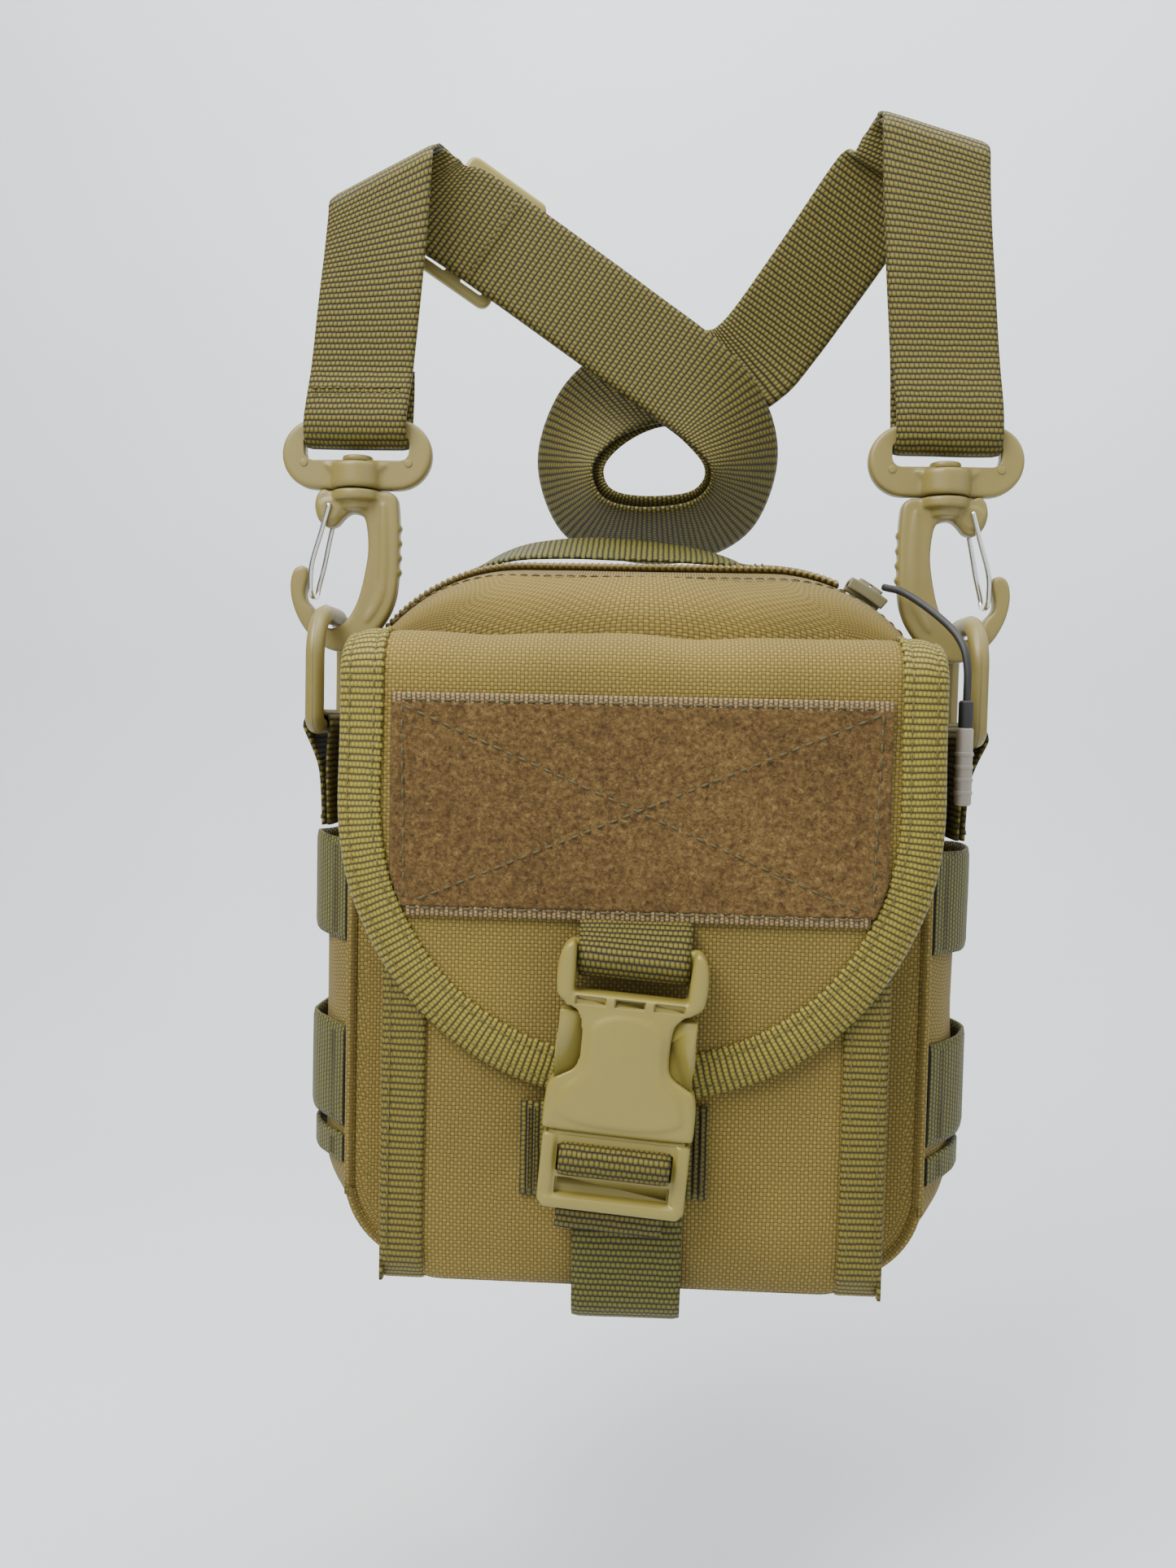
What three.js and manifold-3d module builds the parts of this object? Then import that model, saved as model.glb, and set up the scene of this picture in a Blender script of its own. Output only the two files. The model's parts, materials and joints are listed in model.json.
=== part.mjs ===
// Compact messenger-style sling bag hanging by its doubled, knotted shoulder strap.
// Millimetres, +X to the wearer-facing right, -Y to the front, +Z up.
// Origin: centre of the flat rear face of the back panel.
import * as THREE from 'three';
import { mergeVertices } from 'three/addons/utils/BufferGeometryUtils.js';
import Module from 'manifold-3d';

const wasm = await Module();
wasm.setup();

// ---------------------------------------------------------------- dimensions
const GAP = 0.3;              // clearance between neighbouring pieces
const HALF_W = 76.5;          // half width of the main compartment
const TOP_Z = 80;             // top of the main compartment
const BOT_Z = -96;            // bottom of the main compartment
const R_TOP = 46;             // upper corner radius
const R_BOT = 25;             // lower corner radius
const DEPTH = 50;             // main compartment depth
const WALL = 2.0;             // gusset fabric with its backing
const ARCH_Z = 40;            // height where the zipped arch begins
const WEB = 25;               // bag webbing width
const STRAP_W = 26;           // shoulder strap webbing width
const POCKET_W = 56;          // half width of the front pocket
const POCKET_TOP = 50;
const POCKET_BOT = -91;
const POCKET_FRONT = -69.9;   // front face of the pocket
const FLAP_Y = -74.4;         // front face of the flap
const FLAP_T = 2.0;           // flap thickness
const FOLD_Z = 60.5;          // top of the flap at the fold
const LOOP_H = 50;            // loop panel height
const LOOP_HALF = 55.5;       // loop panel half width
const LOOP_TOP = 45.5;
const RING_X = 80.4;          // D-ring plane
const RING_Y = -31;           // D-ring centre in depth
const RING_Z = 37.5;          // D-ring bar height
const HOOK_X = 74;            // swivel axis
const HOOK_Y = -31;
const HOOK_Z = 97.3;          // seam between swivel collar and hook disc
const BAR_Z = 112.5;          // strap bar of the swivel ring
const BUCKLE_Z = -8.5;        // top of the buckle socket
const BUCKLE_TILT = -4.5;     // degrees, top leaning to +X
const BUCKLE_Y = -80.6;       // mid plane of the buckle

// ---------------------------------------------------------------- materials
const fabric = (c, r = 0.85) => new THREE.MeshStandardMaterial({ color: c, roughness: r, metalness: 0 });
const FABRIC = fabric(0x6e5f33);
const WEBBING = fabric(0x6d6a28, 0.75);
const BINDING = fabric(0x77742c, 0.75);
const LOOP = fabric(0x5a4420, 0.95);
const LINING = fabric(0x2b2a1c, 0.9);
const FOAM = fabric(0x4a4a46, 0.95);
const PLASTIC = new THREE.MeshStandardMaterial({ color: 0x7f7438, roughness: 0.45, metalness: 0 });
const COIL = new THREE.MeshStandardMaterial({ color: 0x6a5b2e, roughness: 0.5, metalness: 0 });
const PAINTED = new THREE.MeshStandardMaterial({ color: 0x74703f, roughness: 0.5, metalness: 0.2 });
const STEEL = new THREE.MeshStandardMaterial({ color: 0xcfd1d2, roughness: 0.2, metalness: 1 });
const BLACK = new THREE.MeshStandardMaterial({ color: 0x151515, roughness: 0.6, metalness: 0 });
const GREY = new THREE.MeshStandardMaterial({ color: 0x9b948b, roughness: 0.6, metalness: 0 });

// ---------------------------------------------------------------- helpers
const V = (x, y, z) => new THREE.Vector3(x, y, z);
const bag = new THREE.Group();

function toManifold(geometry) {
  let g = geometry.clone();
  g.deleteAttribute('normal'); g.deleteAttribute('uv');
  g = mergeVertices(g, 1e-4);
  return new wasm.Manifold(new wasm.Mesh({
    numProp: 3,
    vertProperties: new Float32Array(g.attributes.position.array),
    triVerts: new Uint32Array(g.index.array),
  }));
}
function fromManifold(man) {
  const m = man.getMesh();
  const g = new THREE.BufferGeometry();
  g.setAttribute('position', new THREE.BufferAttribute(new Float32Array(m.vertProperties), 3));
  g.setIndex(new THREE.BufferAttribute(new Uint32Array(m.triVerts), 1));
  return g;
}
function add(name, geometry, material) {
  const mesh = new THREE.Mesh(geometry, material);
  mesh.name = name;
  bag.add(mesh);
  return mesh;
}
const addM = (name, man, material) => add(name, fromManifold(man), material);

function polyShape(pts, holes = []) {
  const s = new THREE.Shape(pts.map((p) => new THREE.Vector2(p[0], p[1])));
  for (const h of holes) s.holes.push(new THREE.Path(h.map((p) => new THREE.Vector2(p[0], p[1]))));
  return s;
}
// outline in X,Z swept through Y from y0 to y1
function slabXZ(pts, y0, y1, holes = []) {
  const g = new THREE.ExtrudeGeometry(polyShape(pts, holes), { depth: y1 - y0, bevelEnabled: false });
  g.rotateX(Math.PI / 2);
  g.translate(0, y1, 0);
  return g;
}
// outline in Y,Z swept through X from x0 to x1
function slabYZ(pts, x0, x1, holes = []) {
  const g = new THREE.ExtrudeGeometry(polyShape(pts, holes), { depth: x1 - x0, bevelEnabled: false });
  g.applyMatrix4(new THREE.Matrix4().makeBasis(V(0, 1, 0), V(0, 0, 1), V(1, 0, 0)));
  g.translate(x0, 0, 0);
  return g;
}
// outline in X,Y swept through Z from z0 to z1
function slabXY(pts, z0, z1, holes = []) {
  const g = new THREE.ExtrudeGeometry(polyShape(pts, holes), { depth: z1 - z0, bevelEnabled: false });
  g.translate(0, 0, z0);
  return g;
}
function box(x0, x1, y0, y1, z0, z1) {
  const g = new THREE.BoxGeometry(x1 - x0, y1 - y0, z1 - z0);
  g.translate((x0 + x1) / 2, (y0 + y1) / 2, (z0 + z1) / 2);
  return g;
}
function arc(cx, cz, r, a0, a1, n) {
  const out = [];
  for (let i = 0; i <= n; i++) {
    const a = THREE.MathUtils.degToRad(a0 + (a1 - a0) * i / n);
    out.push([cx + r * Math.cos(a), cz + r * Math.sin(a)]);
  }
  return out;
}
function circle(cx, cz, r, n) { return arc(cx, cz, r, 0, 360 - 360 / n, n - 1); }
const mirrorX = (pts) => pts.map((p) => [-p[0], p[1]]).reverse();

// closed solid swept through cross lines: each station is a centre, a half-width vector and a thickness
function ribbon(stations, thickness) {
  const pos = [];
  const idx = [];
  const n = stations.length;
  for (let i = 0; i < n; i++) {
    const p = stations[i].p;
    const a = stations[Math.max(0, i - 1)].p;
    const b = stations[Math.min(n - 1, i + 1)].p;
    const t = b.clone().sub(a).normalize();
    const w = stations[i].w;
    const nn = t.clone().cross(w).normalize().multiplyScalar(thickness / 2);
    for (const [sw, sn] of [[1, 1], [-1, 1], [-1, -1], [1, -1]]) {
      const q = p.clone().addScaledVector(w, sw).addScaledVector(nn, sn);
      pos.push(q.x, q.y, q.z);
    }
  }
  for (let i = 0; i < n - 1; i++) {
    for (let k = 0; k < 4; k++) {
      const a = i * 4 + k, b = i * 4 + (k + 1) % 4, c = a + 4, d = b + 4;
      idx.push(a, b, d, a, d, c);
    }
  }
  idx.push(0, 2, 1, 0, 3, 2);
  const e = (n - 1) * 4;
  idx.push(e, e + 1, e + 2, e, e + 2, e + 3);
  const g = new THREE.BufferGeometry();
  g.setAttribute('position', new THREE.Float32BufferAttribute(pos, 3));
  g.setIndex(idx);
  // outward facing
  let vol = 0;
  for (let i = 0; i < idx.length; i += 3) {
    const [A, B, C] = [idx[i], idx[i + 1], idx[i + 2]].map((k) => V(pos[3 * k], pos[3 * k + 1], pos[3 * k + 2]));
    vol += A.dot(B.cross(C));
  }
  if (vol < 0) g.setIndex(idx.map((_, i) => idx[i - (i % 3) + (2 - (i % 3))]));
  return g;
}
// smooth run of stations through control points [x, y, z, wx, wy, wz]
function run(ctrl, n) {
  const pc = new THREE.CatmullRomCurve3(ctrl.map((c) => V(c[0], c[1], c[2])), false, 'centripetal');
  const wc = new THREE.CatmullRomCurve3(ctrl.map((c) => V(c[3], c[4], c[5])), false, 'catmullrom', 0.5);
  const out = [];
  for (let i = 0; i <= n; i++) {
    out.push({ p: pc.getPoint(i / n), w: wc.getPoint(i / n) });
  }
  return out;
}
// round bar along a path, closed at both ends
function bar(points, r, sides, steps) {
  const curve = new THREE.CatmullRomCurve3(points, false, 'centripetal');
  return new THREE.ExtrudeGeometry(polyShape(circle(0, 0, r, sides)), { steps, bevelEnabled: false, extrudePath: curve });
}

// ---------------------------------------------------------------- main compartment
// rounded outline of the compartment, inset by d
function outline(d, seg = 6) {
  const w = HALF_W - d, rt = R_TOP - d, rb = R_BOT - d;
  return [
    ...arc(w - rt, TOP_Z - d - rt, rt, 0, 90, seg),
    ...arc(-(w - rt), TOP_Z - d - rt, rt, 90, 180, seg),
    ...arc(-(w - rb), BOT_Z + d + rb, rb, 180, 270, seg),
    ...arc(w - rb, BOT_Z + d + rb, rb, 270, 360, seg),
  ];
}
// lower U of the outline between offsets d0 (outer) and d1 (inner), from z down round the bottom
function lowerU(d0, d1, z, seg = 6) {
  const side = (d) => [
    [-(HALF_W - d), z],
    ...arc(-(HALF_W - R_BOT), BOT_Z + R_BOT, R_BOT - d, 180, 270, seg),
    ...arc(HALF_W - R_BOT, BOT_Z + R_BOT, R_BOT - d, 270, 360, seg),
    [HALF_W - d, z],
  ];
  return [...side(d0), ...side(d1).reverse()];
}
// upper arch of the outline between offsets d0 and d1; a0..a1 trims the right leg
function upperArch(d0, d1, zl, zr, seg = 7, stop = null) {
  const side = (d) => {
    const cx = HALF_W - R_TOP, cz = TOP_Z - R_TOP, r = R_TOP - d;
    const right = stop === null ? [[HALF_W - d, zr], ...arc(cx, cz, r, 0, 90, seg).filter((p) => p[1] > zr + 0.5)]
      : arc(cx, cz, r, stop, 90, 4);
    return [...right, ...arc(-cx, cz, r, 90, 180, seg).filter((p) => p[1] > zl + 0.5), [-(HALF_W - d), zl]];
  };
  return [...side(d0), ...side(d1).reverse()];
}

add('back_panel', slabXZ(outline(0), -1.6, 0), FABRIC);
add('back_foam', slabXZ(outline(4), -6.9, -1.9), FOAM);
add('back_lining', slabXZ(outline(4), -8.2, -7.2), LINING);
add('side_gusset', slabXZ(lowerU(0, WALL, ARCH_Z), -48, -1.9), FABRIC);
const archZ = ARCH_Z + GAP;
add('top_gusset_rear', slabXZ(upperArch(0, WALL, archZ, archZ), -19.9, -1.9), FABRIC);
add('zipper_tape_rear', slabXZ(upperArch(0.5, 1.6, archZ, archZ), -26.2, -20.2), LINING);
add('zipper_tape_front', slabXZ(upperArch(0.5, 1.6, archZ, archZ), -38.0, -32.0), LINING);
add('top_gusset_front', slabXZ(upperArch(0, WALL, archZ, archZ), -48, -38.3), FABRIC);
// the coil is closed from the left end to the slider; beyond the slider the tapes stand open
const ZIP_STOP = 65;          // degrees on the right corner where the slider sits
add('zipper_coil', slabXZ(upperArch(-0.6, 1.8, archZ, archZ, 7, ZIP_STOP), -31.7, -26.5), COIL);
add('front_wall', slabXZ(outline(0), -50, -48.3), FABRIC);
add('edge_piping', slabXZ(lowerU(-2.3, -0.3, 40), -51.2, -48.6), FABRIC);

// zipper slider rides on the coil's end on the right shoulder
{
  const cx = HALF_W - R_TOP, cz = TOP_Z - R_TOP;
  const at = (deg, d) => { const a = THREE.MathUtils.degToRad(deg); return [cx + (R_TOP - d) * Math.cos(a), cz + (R_TOP - d) * Math.sin(a)]; };
  const o = [], i = [];
  for (let k = 0; k <= 3; k++) { o.push(at(ZIP_STOP - 1 - 13 * k / 3, -3.6)); i.push(at(ZIP_STOP - 1 - 13 * k / 3, -0.95)); }
  add('zipper_slider', slabXZ([...o.reverse(), ...i], -33.4, -24.8), PAINTED);
}
// pull: dark cord from the slider round the shoulder, with a moulded grip hanging in front of the D-ring
add('zipper_pull_cord', bar([V(59.2, -34.6, 74.6), V(63.5, -40, 72.6), V(69.6, -48, 66.8), V(73.8, -54, 60.8), V(75.3, -56.3, 54), V(75.3, -56.3, 40.5)], 0.9, 6, 18), BLACK);
add('zipper_pull_grip', slabXY([[73.4, -58.2], [77.2, -58.2], [77.2, -54.4], [73.4, -54.4]], 22, 40.2), GREY);

// ---------------------------------------------------------------- front pocket
function pocketOutline(d) {
  const w = POCKET_W - d, r = 12 - d, b = POCKET_BOT + d;
  return [[w, POCKET_TOP], [-w, POCKET_TOP], ...arc(-(w - r), b + r, r, 180, 270, 5), ...arc(w - r, b + r, r, 270, 360, 5)];
}
add('pocket_front', slabXZ(pocketOutline(0), POCKET_FRONT, POCKET_FRONT + 1.5), FABRIC);
{
  const oneSide = (d) => [[-(POCKET_W - d), POCKET_TOP], ...arc(-(POCKET_W - 12), POCKET_BOT + 12, 12 - d, 180, 270, 5),
    ...arc(POCKET_W - 12, POCKET_BOT + 12, 12 - d, 270, 360, 5), [POCKET_W - d, POCKET_TOP]];
  add('pocket_gusset', slabXZ([...oneSide(0), ...oneSide(1.7).reverse()], POCKET_FRONT + 1.8, -50.3), FABRIC);
}
for (const [s, side] of [[-1, 'left'], [1, 'right']]) {
  const x0 = s * 57.6, x1 = s * 47.6;
  add(`pocket_binding_${side}`, box(Math.min(x0, x1), Math.max(x0, x1), POCKET_FRONT - 1.5, POCKET_FRONT - 0.3, POCKET_BOT - 1, 46), BINDING);
}

// ---------------------------------------------------------------- flap
// outline seen from the front
const flapRight = [[67.2, 62], [67.4, 40], [67.6, 18], [65.6, 4], [62, -6], [56.6, -16], [49.5, -25], [41, -32.5], [31, -38.5], [20, -42.6], [8, -45], [0, -45.3]];
const flapPts = (d) => {
  const right = flapRight.map(([x, z]) => {
    const c = [0, 12];
    if (z > 30) return [x - d, z];
    const l = Math.hypot(x - c[0], z - c[1]);
    return [x - d * (x - c[0]) / l, z - d * (z - c[1]) / l];
  });
  return [...right, ...mirrorX(right).slice(1)];
};
// side profile of the flap sheet: hinge seam on the front wall, roll over, straight down
function flapProfile(off0, off1) {
  // off = distance inwards from the flap's outer surface
  const r = 11;
  const cy = FLAP_Y + r, cz = FOLD_Z - r;
  const line = (o) => [[-51.2, FOLD_Z - o], ...arc(cy, cz, r - o, 90, 180, 7), [FLAP_Y + o, -46]];
  const a = line(off0), b = line(off1);
  return [...a, ...b.reverse()];
}
const flapBlock = toManifold(slabXZ([...flapPts(0)], -90, -40));
const inner = [...flapPts(9)];
inner[0][1] = 70; inner[inner.length - 1][1] = 70;
const flapInner = toManifold(slabXZ(inner, -95, -40));
const sheet = toManifold(slabYZ(flapProfile(0.7, 0.7 + FLAP_T), -70, 70));
addM('flap_panel', sheet.intersect(flapBlock), FABRIC);
{
  // binding folded over the free edge: a thin outer band on the front face
  const skin = toManifold(slabYZ(flapProfile(-0.5, 0.4), -70, 70));
  const frontOnly = toManifold(box(-80, 80, -90, -60.5, -60, 57.2));
  addM('flap_binding', skin.intersect(flapBlock).subtract(flapInner).intersect(frontOnly), BINDING);
}
{
  const trim = flapPts(9.4);
  trim[0][1] = 70; trim[trim.length - 1][1] = 70;
  const panel = toManifold(box(-LOOP_HALF, LOOP_HALF, FLAP_Y - 0.9, FLAP_Y + 0.4, LOOP_TOP - LOOP_H, LOOP_TOP));
  addM('loop_panel', panel.intersect(toManifold(slabXZ(trim, -95, -40))), LOOP);
}
add('flap_strap', box(0.2 - WEB / 2, 0.2 + WEB / 2, FLAP_Y - 2.2, FLAP_Y - 1.2, -17.5, -4.9), WEBBING);

// ---------------------------------------------------------------- side-release buckle (built at its own origin, top centre, then tilted)
const tilt = new THREE.Matrix4()
  .makeTranslation(0.4, BUCKLE_Y, BUCKLE_Z)
  .multiply(new THREE.Matrix4().makeRotationY(THREE.MathUtils.degToRad(-BUCKLE_TILT)));
const buckleGeo = (g) => { g.applyMatrix4(tilt); return g; };
{
  // socket outline, right half, z down from 0
  const right = [[13.6, 0.0], [15.6, -1.6], [16.2, -4.5], [16.2, -9.5], [15.2, -12.0], [12.4, -14.0], [10.4, -15.6], [9.6, -18],
    [9.6, -25.5], [10.4, -28.0], [13.2, -29.6], [15.8, -31.2], [16.6, -34], [16.6, -42.2]];
  const pts = [...right, ...mirrorX(right)];
  const body = toManifold(slabXZ(pts, -3.9, 3.9));
  const slot = toManifold(slabXZ([[-13.3, -6.4], [13.3, -6.4], [13.3, -11.6], [-13.3, -11.6]], -5, 5));
  const slotTop = toManifold(slabXZ([[-13.3, -1.9], [13.3, -1.9], [13.3, -6.6], [-13.3, -6.6]], -5, -1.4));
  const mouth = toManifold(box(-15.3, 15.3, -2.4, 2.4, -43, -14.8));
  addM('buckle_socket', body.subtract(slot).subtract(slotTop).subtract(mouth).translate([0, 0, 0]), PLASTIC);
  // plug: base frame with two rails, strap bars and a centre tongue inside the socket
  const frame = toManifold(box(-16.2, 16.2, -2.1, 2.1, -59.5, -42.5));
  const win1 = toManifold(box(-12.9, 12.9, -4, 4, -50.6, -44.6));
  const win2 = toManifold(box(-12.9, 12.9, -4, 4, -56.4, -52.6));
  const tongue = toManifold(box(-3.0, 3.0, -1.6, 1.6, -42.9, -17.5));
  const root = toManifold(box(-9.0, 9.0, -1.9, 1.9, -44.6, -39.5));
  addM('buckle_plug', frame.subtract(win1).subtract(win2).add(tongue).add(root), PLASTIC);
  for (const [s, side] of [[-1, 'left'], [1, 'right']]) {
    const prong = [[9.6, -39.2], [6.2, -39.2], [7.2, -30], [9.4, -22], [10.9, -17.2], [13.6, -17.6], [14.7, -21.5], [14.9, -27.6], [12.6, -29.4], [10.6, -32.4]];
    let p = s > 0 ? prong.map((q) => [q[0], q[1]]) : mirrorX(prong);
    addM(`buckle_prong_${side}`, toManifold(slabXZ(s > 0 ? [...p].reverse() : p, -1.8, 1.8)), PLASTIC);
  }
}
// webbing round the plug's bars, bulging forward in the window
{
  const wrap = [[2.5, -43.9], [-3.3, -44.2], [-4.1, -47.5], [-3.4, -51.5], [-2.5, -52.0], [2.5, -52.0], [3.4, -49]];
  const g = slabYZ([[-4.2, -45.6], [-4.9, -48.2], [-4.2, -51.0], [-2.5, -51.6], [-2.5, -50.2], [-3.2, -49.8], [-3.6, -48.2], [-3.0, -46.4], [-2.5, -46.0], [-2.5, -44.9]].reverse(), -12.2, 12.2);
  add('plug_webbing', g, WEBBING);
}
for (const m of bag.children) {
  if (/^(buckle_|plug_webbing)/.test(m.name)) buckleGeo(m.geometry);
}
// keeper webbing sewn across the pocket behind the plug, and the lower strap
add('strap_keeper', slabXY([[-25, -71.5], [-25, -70.2], [17.4, -70.2], [17.4, -71.5]], -68, -46.5), WEBBING);
{
  const y = -71.8;
  // lower strap: from behind the plug, down the pocket, under the bottom edge
  const out = [[y, -64], [y, -88], [-71.6, -93.4], [-69.6, -96.6], [-66, -98.2], [-56, -98.2]];
  const inn = [[-56, -97.0], [-65.6, -97.0], [-68.6, -95.6], [-70.4, -92.8], [-70.5, -88], [-70.5, -68.5], [-70.9, -64]];
  const t = 1.2;
  const front = [[-73.0, -64], [-73.0, -88], [-72.8, -92], [-71.4, -96.0], [-68.2, -98.6], [-56, -98.6]];
  const back = [[-56, -97.4], [-67.8, -97.4], [-70.4, -95.2], [-71.6, -91.8], [-71.8, -88], [-71.8, -64]];
  add('lower_strap', slabYZ([...front, ...back].reverse(), -12.7, 11.7), WEBBING);
}

// ---------------------------------------------------------------- side webbing loops and D-ring tabs
for (const [s, side] of [[-1, 'left'], [1, 'right']]) {
  for (const [name, z0, z1] of [['upper', -15, 10], ['middle', -61.5, -36.5], ['lower', -71, -64.2]]) {
    const X0 = HALF_W + 0.3, T = 1.2, B = 3.6;
    const f = (y) => { const u = Math.min(1, Math.max(0, (y + 43) / 36)); return B * Math.pow(Math.sin(Math.PI * u), 0.7); };
    const ys = [-46.5, -43, -40, -36, -30, -25, -20, -14, -10, -7, -3.5];
    const o = ys.map((y) => [X0 + T + f(y), y]);
    const i = ys.map((y) => [X0 + (f(y) > 0.2 ? f(y) : 0), y]).reverse();
    let pts = [...o, ...i];
    if (s < 0) pts = mirrorX(pts);
    add(`side_webbing_${name}_${side}`, slabXY(pts, z0, z1), WEBBING);
  }
  // tab that holds the D-ring bar
  const c = [RING_X, RING_Z];
  const o = [[HALF_W + 0.4, 12.5], [HALF_W + 3.0, 12.5], [HALF_W + 3.0, 24], ...arc(c[0], c[1], 3.6, -35, 205, 12), [HALF_W + 0.5, 28]];
  let outer = o;
  let hole = circle(c[0], c[1], 2.6, 14);
  if (s < 0) { outer = mirrorX(outer); hole = mirrorX(hole); }
  add(`ring_tab_${side}`, slabXZ(outer, RING_Y - WEB / 2, RING_Y + WEB / 2, [hole]), WEBBING);
  // D-ring: straight bar, sides and flat-topped bow
  const h = 15.6, rc = 11, top = 65.4, low = RING_Z, rl = 2.6;
  const loop = new THREE.CurvePath();
  const pts = [];
  const push = (y, z) => pts.push(V(s * RING_X, RING_Y + y, z));
  for (const [y, z] of arc(-h + rl, low + rl, rl, 270, 180, 3)) push(y, z);
  for (const [y, z] of arc(-h + rc, top - rc, rc, 180, 90, 5)) push(y, z);
  for (const [y, z] of arc(h - rc, top - rc, rc, 90, 0, 5)) push(y, z);
  for (const [y, z] of arc(h - rl, low + rl, rl, 0, -90, 3)) push(y, z);
  // a closed tube built from rings of a section
  const N = pts.length, K = 8, r = 2.25, pos = [], idx = [];
  for (let i = 0; i < N; i++) {
    const a = pts[(i + N - 1) % N], b = pts[(i + 1) % N];
    const t = b.clone().sub(a).normalize();
    const nx = V(1, 0, 0), ny = t.clone().cross(nx).normalize();
    for (let k = 0; k < K; k++) {
      const u = (k + 0.5) / K * Math.PI * 2;
      const q = pts[i].clone().addScaledVector(nx, r * Math.cos(u)).addScaledVector(ny, r * Math.sin(u));
      pos.push(q.x, q.y, q.z);
    }
  }
  for (let i = 0; i < N; i++) for (let k = 0; k < K; k++) {
    const a = i * K + k, b = i * K + (k + 1) % K, c2 = ((i + 1) % N) * K + k, d = ((i + 1) % N) * K + (k + 1) % K;
    idx.push(a, d, b, a, c2, d);
  }
  const g = new THREE.BufferGeometry();
  g.setAttribute('position', new THREE.Float32BufferAttribute(pos, 3));
  g.setIndex(idx);
  let vol = 0;
  for (let i = 0; i < idx.length; i += 3) {
    const [A, B, C] = [idx[i], idx[i + 1], idx[i + 2]].map((q) => V(pos[3 * q], pos[3 * q + 1], pos[3 * q + 2]));
    vol += A.dot(B.cross(C));
  }
  if (vol < 0) g.setIndex(idx.map((_, i) => idx[i - (i % 3) + (2 - (i % 3))]));
  add(`d_ring_${side}`, g, PLASTIC);
}

// ---------------------------------------------------------------- carrying handle
{
  const L = 49;
  const st = [];
  for (let i = 0; i <= 16; i++) {
    const u = i / 16, x = -L + 2 * L * u;
    const rise = 5.2 * Math.pow(Math.sin(Math.PI * u), 0.55);
    const lean = Math.pow(Math.sin(Math.PI * u), 0.5);
    const w = V(0, 9.5 - 1.5 * lean, 0.1 + 3.6 * lean);
    st.push({ p: V(x, -11.5, TOP_Z + 1.0 + rise), w });
  }
  add('grab_handle', ribbon(st, 1.2), WEBBING);
}

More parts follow.
